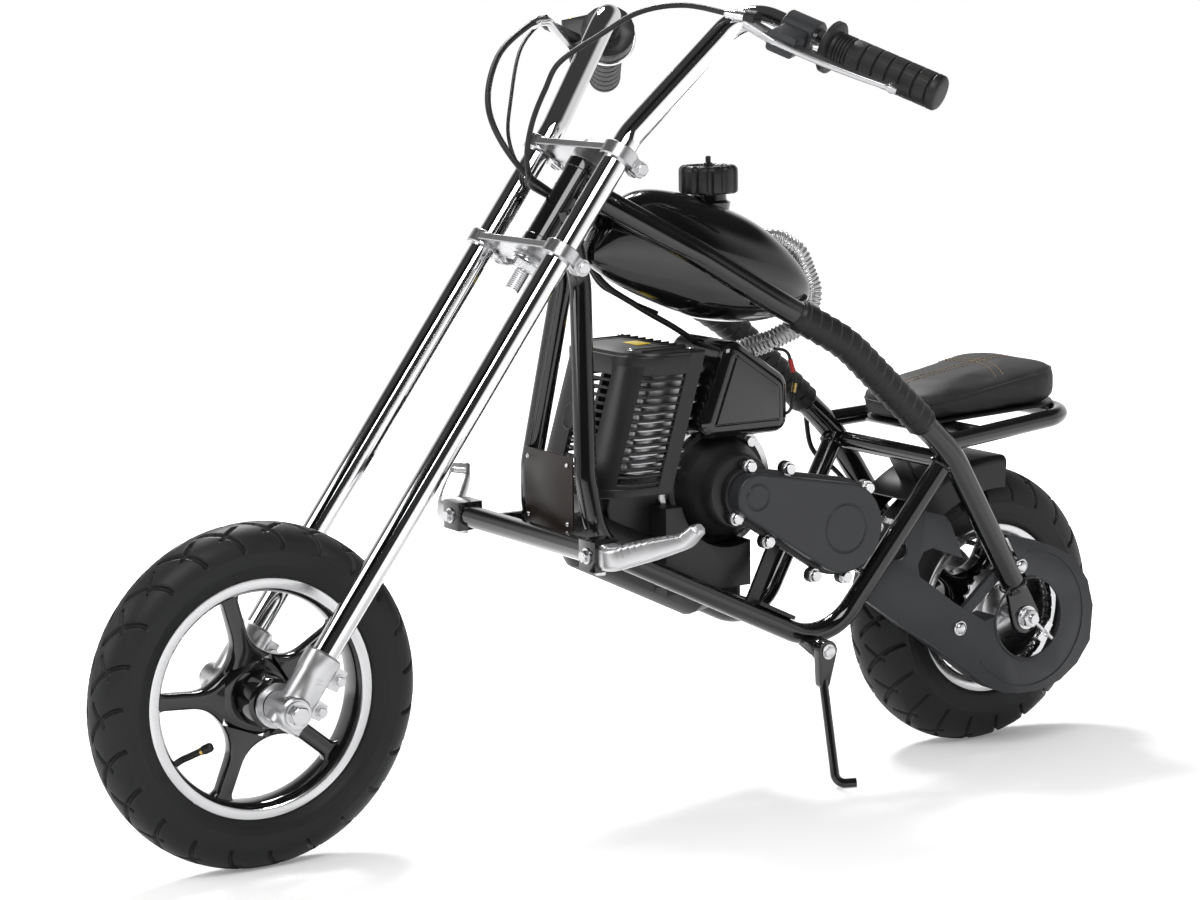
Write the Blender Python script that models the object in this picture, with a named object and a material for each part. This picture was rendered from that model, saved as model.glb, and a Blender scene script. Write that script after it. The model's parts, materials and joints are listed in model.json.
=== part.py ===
"""Mini chopper motorcycle with a small two-stroke engine, standing on its side stand.

The bike is modelled upright, +X to its front, +Y to its left, +Z up, with the
rear tyre's contact point below X = 0. An empty then leans it on its side stand
and puts the middle of its footprint at the world's origin. All sizes are in metres.
"""

import math

import bmesh
import bpy
import numpy as np
from mathutils import Matrix, Vector

# Stance
LEAN = math.radians(5.0)
WHEELBASE = 0.8234
RAKE = math.radians(36.38)

# Clearances
SEAT_GAP = 0.0003
OVERRUN = 0.012
RUNNING_GAP = 0.005

# Facets
TUBE_SIDES = 12
WHEEL_STEPS = 40
ROUND_STEPS = 20
TYRE_STEPS = 12
SMALL_STEPS = 12
BEND_STEPS = 4
BEND_REACH_SHARE = 0.48
RING_START = (0.13, 1.0, 0.21)
TURNED_START = (0.3, 0.2, 1.0)
UPRIGHT_SHARE = 0.9
SHARP_ANGLE = math.radians(35.0)

# Front wheel
FRONT_RADIUS = 0.160
FRONT_SECTION = 0.028
FRONT_RIM_RADIUS = 0.111
FRONT_RIM_DEPTH = 0.010
FRONT_RIM_HALF_WIDTH = 0.0183
FRONT_HUB_RADIUS = 0.024
FRONT_HUB_HALF_WIDTH = 0.040
FRONT_SPOKE_WIDTH = 0.026
FRONT_SPOKE_DEPTH = 0.016
SPOKE_COUNT = 5
SPOKE_SHARES = ((1.35, 0.0), (0.62, 0.5), (0.55, 1.0))
HUB_WEB_SHARE = 1.45
FRONT_SPOKE_TURN = math.radians(4.0)

# Rear wheel
REAR_RADIUS = 0.1447
REAR_SECTION = 0.040
REAR_RIM_RADIUS = 0.088
REAR_RIM_DEPTH = 0.009
REAR_RIM_HALF_WIDTH = 0.0356
REAR_HUB_RADIUS = 0.022
REAR_HUB_HALF_WIDTH = 0.047
REAR_SPOKE_WIDTH = 0.024
REAR_SPOKE_DEPTH = 0.030
REAR_SPOKE_TURN = math.radians(40.0)
RIM_LIP = 0.004
WELL_DEPTH = 0.007

# Axles
AXLE_RADIUS = 0.005
AXLE_NUT_RADIUS = 0.009
AXLE_NUT_DEPTH = 0.009
NUT_SIDES = 6

# Fork and bars
FORK_RADIUS = 0.0122
FORK_HALF_SPREAD = 0.0693
FORK_SETBACK = 0.0034
FORK_FOOT = 0.012
FORK_KNEE_RISE = 0.021
BAR_TOP_X = 0.359
BAR_TOP_Y = 0.118
BAR_TOP_Z = 0.767
BAR_END_X = 0.265
BAR_END_Y = 0.281
BAR_END_Z = 0.693
BAR_TOP_BEND = 0.040

# Steering head
STEER_SETBACK = 0.0164
LOWER_CLAMP = 0.4856
HEAD_LENGTH = 0.1084
CLAMP_THICKNESS = 0.010
CLAMP_COLLAR = 0.0185
CLAMP_COLLAR_HEIGHT = 0.016
CLAMP_WAIST_SHARE = 0.8
HEAD_TUBE_RADIUS = 0.0170
HEAD_CLEARANCE = 0.0015
STEM_RADIUS = 0.0080
STEM_BOLT_TAIL = 0.030
STEM_NUT_RADIUS = 0.0135
STEM_NUT_DEPTH = 0.010
CLAMP_BOLT_RADIUS = 0.007
CLAMP_BOLT_REACH = 0.015

# Axle lugs
LUG_RADIUS = 0.0175
LUG_TOP = 0.060
LUG_EYE_RADIUS = 0.0165

# Grips and controls
GRIP_RADIUS = 0.0165
GRIP_LENGTH = 0.112
GRIP_FLANGE_RADIUS = 0.025
GRIP_FLANGE_DEPTH = 0.006
GRIP_RIB_DEPTH = 0.0016
GRIP_RIBS = 6
GRIP_RIB_SHARE = 0.78
GRIP_GROOVE_SHARE = 0.89
PERCH_LENGTH = 0.034
PERCH_RADIUS = 0.018
PERCH_GAP = 0.012
PERCH_POST_SHARES = (0.8, 0.6)
LEVER_LENGTH = 0.115
LEVER_WIDTH = 0.014
LEVER_THICKNESS = 0.007
LEVER_STANDOFF = 0.034
ADJUSTER_RADIUS = 0.005
CABLE_SIDES = 6
BRAKE_CABLE_RADIUS = 0.0026
BRAKE_CABLE_PATH = (
    (0.3823, 0.1350, 0.7627),
    (0.4050, 0.0860, 0.7718),
    (0.4344, 0.0550, 0.7660),
    (0.4664, 0.0360, 0.7455),
    (0.5053, 0.0280, 0.7216),
    (0.5202, 0.0250, 0.6963),
    (0.5318, 0.0220, 0.6691),
    (0.5345, 0.0150, 0.6414),
    (0.5265, 0.0030, 0.6180),
)
THROTTLE_CABLE_RADIUS = 0.0036
THROTTLE_CABLE_PATH = (
    (0.4092, -0.1560, 0.7590),
    (0.4342, -0.1500, 0.7509),
    (0.4781, -0.1300, 0.7262),
    (0.5095, -0.1000, 0.6895),
    (0.5198, -0.0700, 0.6567),
    (0.5130, -0.0450, 0.6240),
)
SWITCH_WIRE_RADIUS = 0.0018
SWITCH_WIRE_PATH = (
    (0.3890, -0.1750, 0.7470),
    (0.4040, -0.1740, 0.7532),
    (0.4463, -0.1450, 0.7285),
    (0.4843, -0.1000, 0.6825),
    (0.5060, -0.0680, 0.6473),
    (0.5032, -0.0580, 0.6229),
)
ENGINE_CABLE_PATH = (
    (0.4670, -0.0400, 0.5880),
    (0.4500, -0.0380, 0.5580),
    (0.4310, -0.0280, 0.5110),
    (0.3950, -0.0180, 0.4830),
    (0.3570, -0.0120, 0.4600),
    (0.3300, -0.0100, 0.4420),
)
BRAKE_RUN_START_SHARE = 0.10
BRAKE_RUN_END_SHARE = 0.70
BRAKE_CROSS_SHARE = 0.80
BRAKE_CABLE_END_SHARE = 0.36
THROTTLE_LENGTH = 0.026
THROTTLE_RADIUS = 0.027
SWITCH_WIDTH = 0.022
SWITCH_HEIGHT = 0.044
SWITCH_DEPTH = 0.032

# Frame tubes
MAIN_RADIUS = 0.0125
WRAP_RADIUS = 0.0162
MAIN_HALF_SPREAD = 0.100
MAIN_TOP_SHARE = 0.705
MAIN_TOP_Y = 0.0134
MAIN_BEND = 0.150
TANK_FLANK_X = 0.380
TANK_FLANK_Y = 0.064
TANK_FLANK_Z = 0.540
TANK_REAR_X = 0.300
TANK_REAR_Y = 0.090
TANK_REAR_Z = 0.486
KNEE_X = 0.2315
KNEE_Z = 0.4455
SEAT_STAY_X = 0.104
SEAT_STAY_Z = 0.327
DROPOUT_Y = 0.0905
DROPOUT_TUBE_X = 0.012
DROPOUT_TUBE_Z = 0.176
DROPOUT_THICKNESS = 0.006
DROPOUT_RADIUS = 0.017
WRAP_START_SHARE = 0.37
WRAP_END_SHARE = 0.665

DOWN_RADIUS = 0.0105
DOWN_TOP_Y = 0.0112
DOWN_TOP_SHARE = 0.468
DOWN_NECK_X = 0.480
DOWN_NECK_Y = 0.0165
DOWN_NECK_Z = 0.512
DOWN_FOOT_X = 0.498
DOWN_FOOT_Y = 0.050
DOWN_FOOT_Z = 0.335
RAIL_HALF_SPREAD = 0.062
RAIL_FRONT_X = 0.492
RAIL_FRONT_Z = 0.268
RAIL_REAR_X = 0.2296
RAIL_REAR_Z = 0.1395
RAIL_END_X = 0.104
RAIL_END_Y = 0.094
RAIL_END_Z = 0.320
CRADLE_BEND = 0.055

PEG_BAR_X = 0.5315
PEG_BAR_Z = 0.277
PEG_BAR_HALF = 0.128
PEG_BAR_RADIUS = 0.011
PEG_LUG = 0.028
PEG_LENGTH = 0.088
PEG_RADIUS = 0.0135
PEG_RING_SHARES = ((-0.5, -0.28), (0.5, -0.28), (0.5, 0.12), (0.3, 0.28), (-0.3, 0.28), (-0.5, 0.12))
PEG_SWEEP = math.radians(38.0)
PEG_RISE = math.radians(17.0)
BAR_STAY_THICKNESS = 0.006
BAR_STAY_HEIGHT = 0.020

PLATE_WIDTH = 0.088
PLATE_HEIGHT = 0.074
PLATE_THICKNESS = 0.002
PLATE_Z = 0.3165

SEAT_LOOP_RADIUS = 0.009
SEAT_LOOP_REAR_X = -0.072
SEAT_LOOP_REAR_Z = 0.348
SEAT_LOOP_HALF = 0.080
SEAT_LOOP_BEND = 0.045
SEAT_LOOP_FRONT_X = 0.112
SEAT_LOOP_FRONT_Z = 0.336
SEAT_STRAP_X = 0.062
CROSS_TUBE_Z = 0.315

# Seat
SEAT_FRONT_X = 0.120
SEAT_REAR_X = -0.080
SEAT_HALF_WIDTH = 0.075
SEAT_NOSE_HALF_WIDTH = 0.062
SEAT_NOSE_SHARE = 0.66
SEAT_NOSE_ROUND_SHARE = 0.85
SEAT_THICKNESS = 0.046
SEAT_CROWN = 0.008
SEAT_CORNER_SHARE = 0.55
SEAT_PAN_THICKNESS = 0.003
SEAT_PAN_INSET = 0.006
FENDER_WIDTH = 0.091
FENDER_THICKNESS = 0.002
FENDER_GAP = 0.014
FENDER_SKIRT_RADIUS = 0.128
FENDER_TAB_WIDTH = 0.030
FENDER_START = math.radians(50.0)
FENDER_END = math.radians(94.0)

# Tank
TANK_FRONT_X = 0.461
TANK_LENGTH = 0.239
TANK_LOW_Z = 0.455
TANK_HEIGHT = 0.148
TANK_HALF_WIDTH = 0.064
TANK_SIDES = 24
TANK_SQUARENESS = 2.4
TANK_SHARES = (
    (0.00, 0.640, 0.500, 0.18),
    (0.05, 0.760, 0.440, 0.26),
    (0.12, 0.875, 0.370, 0.34),
    (0.25, 0.955, 0.260, 0.52),
    (0.40, 0.935, 0.150, 0.76),
    (0.54, 0.865, 0.080, 0.91),
    (0.70, 0.755, 0.050, 1.00),
    (0.83, 0.605, 0.060, 0.94),
    (0.94, 0.420, 0.100, 0.72),
    (1.00, 0.290, 0.160, 0.36),
)
TANK_LUG_LENGTH = 0.024
TANK_LUG_THICKNESS = 0.004
TANK_LUG_SHARE = 0.7
TANK_HOSE_RADIUS = 0.011
TANK_HOSE_PATH = (
    (0.290, 0.000, 0.520),
    (0.252, 0.000, 0.546),
    (0.224, 0.010, 0.526),
    (0.210, 0.015, 0.488),
    (0.220, 0.018, 0.457),
    (0.250, 0.000, 0.440),
    (0.282, -0.030, 0.425),
)
CAP_X = 0.323
TANK_NECK_RADIUS = 0.017
TANK_NECK_HEIGHT = 0.010
CAP_RADIUS = 0.029
CAP_HEIGHT = 0.027
CAP_FLUTES = 12
CAP_FLUTE_RADIUS = 0.004
VENT_RADIUS = 0.003
VENT_HEIGHT = 0.009

# Engine
CRANK_X = 0.3275
CRANK_Z = 0.3045
CASE_RADIUS = 0.050
CASE_LEFT_Y = 0.010
CASE_RIGHT_Y = -0.068
CASE_FRONT_X = 0.420
CASE_FRONT_Z = 0.292
CASE_FRONT_RADIUS = 0.030
CYLINDER_X = 0.413
CYLINDER_Y = 0.004
CYLINDER_LOW_Z = 0.3265
CYLINDER_WIDTH = 0.066
CYLINDER_CORE = 0.046
FIN_COUNT = 8
FIN_THICKNESS = 0.0035
FIN_PITCH = 0.0125
COWL_TILT = math.radians(17.0)
COWL_HEIGHT = 0.135
COWL_LOW_Z = 0.308
COWL_FRONT_X = 0.478
COWL_BACK_X = 0.400
COWL_LEFT_Y = 0.046
COWL_RIGHT_Y = -0.100
COWL_WALL = 0.004
COWL_ROUND = 0.040
COWL_SLOTS = 7
COWL_SLOT_HEIGHT = 0.009
COWL_SLOT_SHARE = 0.84
COWL_SLOT_RISE_SHARE = 0.75
COWL_POST_WIDTH = 0.030
COWL_POST_EDGE = 0.004
COWL_BOSS_RADIUS = 0.004
COWL_BOSS_FIN = 4
BOX_FRONT_LOW_X = 0.3655
BOX_FRONT_TOP_X = 0.3405
BOX_BACK_X = 0.262
BOX_LEFT_Y = 0.052
BOX_RIGHT_Y = -0.050
BOX_TOP_Z = 0.449
BOX_REAR_TOP_Z = 0.418
BOX_ROUND = 0.018
CLUTCH_FLANGE_RADIUS = 0.0575
CLUTCH_FLANGE_DEPTH = 0.008
CLUTCH_NOSE_RADIUS = 0.037
CLUTCH_FACE_Y = 0.0615
RECOIL_RADIUS = 0.062
RECOIL_DEPTH = 0.029
RECOIL_FACE_SHARE = 0.71
RECOIL_SLOT_LENGTH = 0.025
RECOIL_SLOTS = 8
RECOIL_SLOT_WIDTH = 0.008
GEAR_BIG_X = 0.2215
GEAR_BIG_Z = 0.2605
GEAR_SMALL_X = 0.326
GEAR_SMALL_Z = 0.3025
GEAR_SMALL_RADIUS = 0.0225
GEAR_BIG_RADIUS = 0.0445
GEAR_FACE_Y = 0.086
GEAR_PLATE_DEPTH = 0.008
GEAR_PLATE_BORDER = 0.004
GEAR_EAR_RADIUS = 0.0075
GEAR_EARS = (
    (0.3255, 0.3303),
    (0.2797, 0.3235),
    (0.3414, 0.2811),
    (0.3046, 0.2544),
    (0.1845, 0.2950),
    (0.1734, 0.2546),
    (0.2122, 0.2088),
    (0.2492, 0.2142),
)
MUFFLER_RADIUS = 0.030
MUFFLER_Y = -0.004
MUFFLER_LIFT = 0.008
MUFFLER_FRONT_X = 0.490
MUFFLER_BACK_X = 0.322
MUFFLER_NOSE_SHARE = 0.5
MUFFLER_DOME_SHARE = 0.12
MUFFLER_BOX_FRONT_X = 0.402
MUFFLER_BOX_BACK_X = 0.304
MUFFLER_BOX_LOW_Z = 0.207
MUFFLER_BOX_LEFT_Y = 0.040
MUFFLER_BOX_RIGHT_Y = -0.044
MOUNT_X = 0.2980
MOUNT_BASE_LENGTH = 0.046
MOUNT_THICKNESS = 0.004
MOUNT_EDGE = 0.008
MOUNT_BOLT_X = 0.3175
MOUNT_BOLT_RADIUS = 0.0065
MOUNT_TOP_X = 0.289
MOUNT_TOP_Z = 0.250

# Drive
CHAIN_Y = 0.0555
CHAIN_WIDTH = 0.009
CHAIN_HEIGHT = 0.008
SPROCKET_RADIUS = 0.055
SPROCKET_TEETH = 30
SPROCKET_TOOTH_SHARES = ((-0.3, 0.94), (0.0, 1.0), (0.3, 0.94))
SPROCKET_THICKNESS = 0.003
SPROCKET_CARRIER = 0.030
DRIVE_SPROCKET_RADIUS = 0.014
COVER_OUTER_Y = 0.0990
COVER_INNER_Y = 0.0625
COVER_FOLD_X = 0.030
COVER_SLANT = math.atan(0.2)
COVER_HOLE_RADIUS = 0.041
COVER_WALL = 0.0025
COVER_CLEARANCE = 0.003
COVER_BITE_X = 0.1498
COVER_BITE_Z = 0.2289
COVER_BITE_RADIUS = 0.0108
COVER_OUTLINE = (
    (0.1854, 0.1812),
    (0.1206, 0.2662),
    (0.0988, 0.2594),
    (0.0922, 0.2517),
    (0.0855, 0.2338),
    (0.0788, 0.2148),
    (0.0932, 0.2201),
    (0.1118, 0.2278),
    (0.1216, 0.2246),
    (0.1281, 0.2119),
    (0.1259, 0.1994),
    (0.1193, 0.1948),
    (0.0875, 0.1694),
    (0.0542, 0.1478),
    (0.0340, 0.1540),
    (0.0100, 0.1780),
    (0.0196, 0.1920),
    (0.0347, 0.2348),
    (-0.0062, 0.2252),
    (-0.0326, 0.2149),
    (-0.0594, 0.2004),
    (-0.0771, 0.1752),
    (-0.0842, 0.1480),
    (-0.0807, 0.1114),
    (-0.0635, 0.0893),
    (-0.0409, 0.0744),
    (-0.0144, 0.0676),
    (0.0120, 0.0681),
    (0.0314, 0.0708),
    (0.0482, 0.0798),
    (0.0817, 0.1049),
    (0.1203, 0.1344),
    (0.1476, 0.1523),
)
COVER_TAB_START = (0.0780, 0.1560)
COVER_TAB_END = (0.0300, 0.1960)
COVER_TAB_Y = 0.0860
COVER_TAB_WIDTH = 0.012
COVER_TAB_THICKNESS = 0.006

# Brake
DISC_RADIUS = 0.055
DISC_THICKNESS = 0.003
DISC_Y = -0.0555
CALIPER_LENGTH = 0.050
CALIPER_HEIGHT = 0.026
CALIPER_WIDTH = 0.024
CALIPER_ANGLE = math.radians(58.0)
CALIPER_SLOT = 0.009
CALIPER_ARM = 0.012

# Stand
STAND_PIVOT_X = 0.252
STAND_PIVOT_Y = 0.0905
STAND_PIVOT_Z = 0.143
STAND_FOOT_X = 0.257
STAND_FOOT_Y = 0.117
STAND_LEG_RADIUS = 0.0045
STAND_TOE = 0.018
STAND_COLLAR_X = 0.2555
STAND_COLLAR_Z = 0.112
STAND_COLLAR_RADIUS = 0.006
STAND_EAR_RADIUS = 0.011
STAND_EAR_THICKNESS = 0.005
STAND_ARM_SHARE = 0.4
STAND_PIN_RADIUS = 0.004
STAND_PIN_GAP = 0.0004


scene = bpy.context.scene
for old in list(bpy.data.objects):
    bpy.data.objects.remove(old, do_unlink=True)


def empty(name, where, parent):
    """An empty at a place of the bike frame; moving pieces hang on one that lies on their axis."""
    marker = bpy.data.objects.new(name, None)
    scene.collection.objects.link(marker)
    marker.location = where
    if parent:
        marker.parent = parent
        marker.location = Vector(where) - Vector(parent["place"])
    marker["place"] = list(where)
    return marker


def finish_of(name, colour, roughness, metallic):
    made = bpy.data.materials.new(name)
    made.use_nodes = True
    shader = made.node_tree.nodes["Principled BSDF"]
    shader.inputs["Base Color"].default_value = (*colour, 1)
    shader.inputs["Roughness"].default_value = roughness
    shader.inputs["Metallic"].default_value = metallic
    made.diffuse_color = (*colour, 1)
    return made


def solid(name, vertices, faces):
    mesh = bpy.data.meshes.new(name)
    mesh.from_pydata([tuple(map(float, v)) for v in vertices], [], [tuple(map(int, f)) for f in faces])
    made = bpy.data.objects.new(name, mesh)
    scene.collection.objects.link(made)
    face_out(made)
    return made


def face_out(made):
    shape = bmesh.new()
    shape.from_mesh(made.data)
    bmesh.ops.recalc_face_normals(shape, faces=shape.faces)
    if shape.calc_volume(signed=True) < 0:
        bmesh.ops.reverse_faces(shape, faces=shape.faces)
    shape.to_mesh(made.data)
    shape.free()


def combine(target, tool, operation):
    """Applies one Boolean at once and drops the tool."""
    step = target.modifiers.new(operation.lower(), "BOOLEAN")
    step.operation = operation
    step.object = tool
    graph = bpy.context.evaluated_depsgraph_get()
    result = bpy.data.meshes.new_from_object(target.evaluated_get(graph))
    target.modifiers.remove(step)
    target.data = result
    bpy.data.objects.remove(tool, do_unlink=True)
    return target


def fuse(target, *tools):
    for tool in tools:
        combine(target, tool, "UNION")
    return target


def carve(target, *tools):
    for tool in tools:
        combine(target, tool, "DIFFERENCE")
    return target


def unit(vector):
    vector = np.asarray(vector, float)
    return vector / np.linalg.norm(vector)


def place(x, y, z):
    return np.array([x, y, z], float)


def mirrored(points, side):
    """The left side's points, or for side = -1 the right side's."""
    return [place(p[0], side * p[1], p[2]) for p in points]


def bend(points, radius):
    """The points with each inner corner turned into an arc of the given radius."""
    points = [np.asarray(p, float) for p in points]
    path = [points[0]]
    for before, corner, after in zip(points, points[1:], points[2:]):
        back = unit(before - corner)
        on = unit(after - corner)
        half = math.acos(max(-1, min(1, float(back @ on)))) / 2
        reach = radius / math.tan(half)
        spare = min(np.linalg.norm(before - corner), np.linalg.norm(after - corner))
        reach = min(reach, BEND_REACH_SHARE * spare)
        turn = reach * math.tan(half)
        middle = corner + unit(back + on) * turn / math.sin(half)
        start = corner + back * reach - middle
        end = corner + on * reach - middle
        sweep_angle = math.pi - 2 * half
        for step in range(BEND_STEPS + 1):
            share = step / BEND_STEPS
            mix = math.sin((1 - share) * sweep_angle) * start + math.sin(share * sweep_angle) * end
            path.append(middle + mix / math.sin(sweep_angle))
    path.append(points[-1])
    return path


def frames_along(path, up):
    """Two unit vectors across the path at each of its points, turning with it and never twisting."""
    path = np.asarray(path, float)
    ahead = np.diff(path, axis=0)
    ahead /= np.linalg.norm(ahead, axis=1)[:, None]
    tangents = np.vstack([ahead[:1], ahead[:-1] + ahead[1:], ahead[-1:]])
    tangents /= np.linalg.norm(tangents, axis=1)[:, None]
    across = []
    side = unit(np.cross(tangents[0], np.asarray(up, float)))
    for tangent in tangents:
        side = unit(side - tangent * (side @ tangent))
        across.append(side)
    across = np.array(across)
    return across, np.cross(across, tangents)


def skin(count, rows):
    """Faces over rows of as many points each, with the first and the last row closed flat."""
    faces = [tuple(range(count)), tuple(range((rows - 1) * count, rows * count))]
    for row in range(rows - 1):
        for i in range(count):
            j = (i + 1) % count
            faces.append((row * count + i, row * count + j, (row + 1) * count + j, (row + 1) * count + i))
    return faces


def sweep(name, path, ring, up=(0, 0, 1)):
    """A solid with the ring's outline carried along the path and flat ends."""
    path = np.asarray(path, float)
    ring = np.asarray(ring, float)
    side, rise = frames_along(path, up)
    rows = path[:, None] + side[:, None] * ring[None, :, :1] + rise[:, None] * ring[None, :, 1:]
    return solid(name, rows.reshape(-1, 3), skin(len(ring), len(path)))


def circle(radius, sides, turn=0):
    angles = turn + np.arange(sides) * 2 * math.pi / sides
    return np.stack([radius * np.cos(angles), radius * np.sin(angles)], 1)


def tube(name, path, radius, sides=TUBE_SIDES):
    return sweep(name, path, circle(radius, sides, math.pi / sides), RING_START)


def turned(name, centre, axis, profile, steps=ROUND_STEPS):
    """A solid of revolution: the profile lists (distance along the axis, radius) from end to end."""
    axis = unit(axis)
    first = unit(np.cross(axis, TURNED_START if abs(axis[2]) < UPRIGHT_SHARE else (1, 0, 0)))
    second = np.cross(axis, first)
    vertices = []
    rows = []
    for along, radius in profile:
        middle = np.asarray(centre, float) + axis * along
        if radius == 0:
            rows.append([len(vertices)])
            vertices.append(middle)
            continue
        angles = np.arange(steps) * 2 * math.pi / steps
        rows.append(list(range(len(vertices), len(vertices) + steps)))
        vertices.extend(middle + radius * (np.cos(a) * first + np.sin(a) * second) for a in angles)
    faces = []
    closed = profile[0] == profile[-1]
    if closed:
        del vertices[-steps:]
        rows[-1] = rows[0]
    for low, high in zip(rows, rows[1:]):
        for i in range(steps):
            j = (i + 1) % steps
            quad = (low[i % len(low)], low[j % len(low)], high[j % len(high)], high[i % len(high)])
            faces.append(tuple(dict.fromkeys(quad)))
    if not closed:
        faces.extend(tuple(row) for row in (rows[0], rows[-1]) if len(row) > 1)
    return solid(name, vertices, faces)


def rod(name, start, end, radius, sides=SMALL_STEPS):
    start = np.asarray(start, float)
    length = np.linalg.norm(np.asarray(end) - start)
    return turned(name, start, np.asarray(end) - start, [(0, radius), (length, radius)], sides)


def slab(name, outline, low, high):
    """An outline in X and Z made solid from one Y to another."""
    outline = np.asarray(outline, float)
    rows = [np.insert(outline, 1, y, axis=1) for y in (low, high)]
    return solid(name, np.vstack(rows), skin(len(outline), 2))


def block(name, centre, size, axes=None):
    """A box about its centre; axes are its own three directions where it isn't square to the bike."""
    axes = np.eye(3) if axes is None else np.array([unit(a) for a in axes])
    corners = np.array([(x, y, z) for x in (-1, 1) for y in (-1, 1) for z in (-1, 1)]) / 2
    vertices = np.asarray(centre, float) + (corners * np.asarray(size, float)) @ axes
    faces = [(0, 1, 3, 2), (4, 6, 7, 5), (0, 4, 5, 1), (2, 3, 7, 6), (0, 2, 6, 4), (1, 5, 7, 3)]
    return solid(name, vertices, faces)


def layered(name, layers):
    """A solid through outlines in X and Y that all have as many points, each at its own height."""
    count = len(layers[0][0])
    vertices = np.vstack([np.column_stack([outline, np.full(count, z)]) for outline, z in layers])
    return solid(name, vertices, skin(count, len(layers)))


def hull_of_circles(circles, steps=ROUND_STEPS):
    """The taut outline round circles given as (x, z, radius), as a belt would lie on them."""
    points = np.vstack([circle(r, steps) + (x, z) for x, z, r in circles])
    order = points[np.lexsort((points[:, 1], points[:, 0]))]

    def chain(run):
        kept = []
        for p in run:
            while len(kept) > 1 and np.cross(kept[-1] - kept[-2], p - kept[-2]) <= 1e-9:
                kept.pop()
            kept.append(p)
        return kept[:-1]

    return np.array(chain(order) + chain(order[::-1]))


def keep(made, finish, body):
    """Gives a finished piece its material, its smooth shading and the body that carries it."""
    made.data.materials.clear()
    made.data.materials.append(finish)
    made.data.shade_smooth()
    made.data.set_sharp_from_angle(angle=SHARP_ANGLE)
    made.parent = body
    made.matrix_parent_inverse = Matrix.Translation(-Vector(body["place"]))
    return made


# Places that the sizes above fix
FORK_UP = place(-math.sin(RAKE), 0, math.cos(RAKE))
FORK_AHEAD = place(math.cos(RAKE), 0, math.sin(RAKE))
ACROSS = place(0, 1, 0)


def rest_height(radius, section):
    """An axle's height in the upright bike whose round tyre touches the floor once it leans."""
    return radius + section * (1 / math.cos(LEAN) - 1)


UPPER_CLAMP = LOWER_CLAMP + HEAD_LENGTH
FORK_KNEE = UPPER_CLAMP + FORK_KNEE_RISE
front_axle = place(WHEELBASE, 0, rest_height(FRONT_RADIUS, FRONT_SECTION))
rear_axle = place(0, 0, rest_height(REAR_RADIUS, REAR_SECTION))


def on_steer(up, across=0):
    return front_axle + FORK_UP * up - FORK_AHEAD * STEER_SETBACK + ACROSS * across


def on_fork(up, across):
    return front_axle + FORK_UP * up - FORK_AHEAD * FORK_SETBACK + ACROSS * across


SEAT_ALONG = unit(place(SEAT_LOOP_FRONT_X - SEAT_LOOP_REAR_X, 0, SEAT_LOOP_FRONT_Z - SEAT_LOOP_REAR_Z))
SEAT_UP = np.cross(SEAT_ALONG, ACROSS)


def on_seat(x, y, rise):
    """A place at a height over the plane that lies on top of the seat loop's tubes."""
    along = SEAT_ALONG * (x - SEAT_LOOP_REAR_X) + SEAT_UP * (SEAT_LOOP_RADIUS + rise)
    return place(SEAT_LOOP_REAR_X, y, SEAT_LOOP_REAR_Z) + along


def rail_height(x):
    """The middle of a lower rail between its two bends."""
    return np.interp(x, (RAIL_REAR_X, RAIL_FRONT_X), (RAIL_REAR_Z, RAIL_FRONT_Z))


bike = empty("bike", (0, 0, 0), None)
steering = empty("steering_axis", on_steer(LOWER_CLAMP), bike)
front_wheel = empty("front_wheel_axis", front_axle, steering)
rear_wheel = empty("rear_wheel_axis", rear_axle, bike)
side_stand = empty("side_stand_axis", (STAND_PIVOT_X, STAND_PIVOT_Y, STAND_PIVOT_Z), bike)

GLOSS_BLACK = finish_of("gloss_black_paint", (0.012, 0.012, 0.014), 0.12, 0.0)
SATIN_BLACK = finish_of("satin_black_metal", (0.02, 0.02, 0.022), 0.45, 0.2)
CHROME = finish_of("chrome", (0.85, 0.85, 0.87), 0.06, 1.0)
ALLOY = finish_of("cast_alloy", (0.62, 0.63, 0.65), 0.35, 1.0)
ZINC = finish_of("zinc_plated_steel", (0.7, 0.71, 0.73), 0.25, 1.0)
BLACK_PLASTIC = finish_of("black_plastic", (0.018, 0.018, 0.02), 0.5, 0.0)
GREY_PLASTIC = finish_of("dark_grey_plastic", (0.045, 0.046, 0.05), 0.55, 0.0)
RUBBER = finish_of("rubber", (0.02, 0.02, 0.02), 0.7, 0.0)
TYRE_RUBBER = finish_of("tyre_rubber", (0.018, 0.018, 0.019), 0.75, 0.0)
SEAT_COVER = finish_of("black_vinyl", (0.03, 0.03, 0.032), 0.5, 0.0)
WRAP = finish_of("wrapped_tape", (0.025, 0.025, 0.026), 0.6, 0.0)
PLATE_BROWN = finish_of("dark_plate", (0.05, 0.03, 0.02), 0.5, 0.0)


def tyre(name, centre, radius, section, rim_radius, body):
    """A round section about its ring, cut off flat where it meets the rim."""
    ring = radius - section
    foot = math.asin((ring - rim_radius - SEAT_GAP) / section)
    turns = np.linspace(-foot, math.pi + foot, TYRE_STEPS + 1)
    profile = [(section * math.cos(t), ring + section * math.sin(t)) for t in turns]
    profile.append(profile[0])
    return keep(turned(name, centre, ACROSS, profile, WHEEL_STEPS), TYRE_RUBBER, body)


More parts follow.
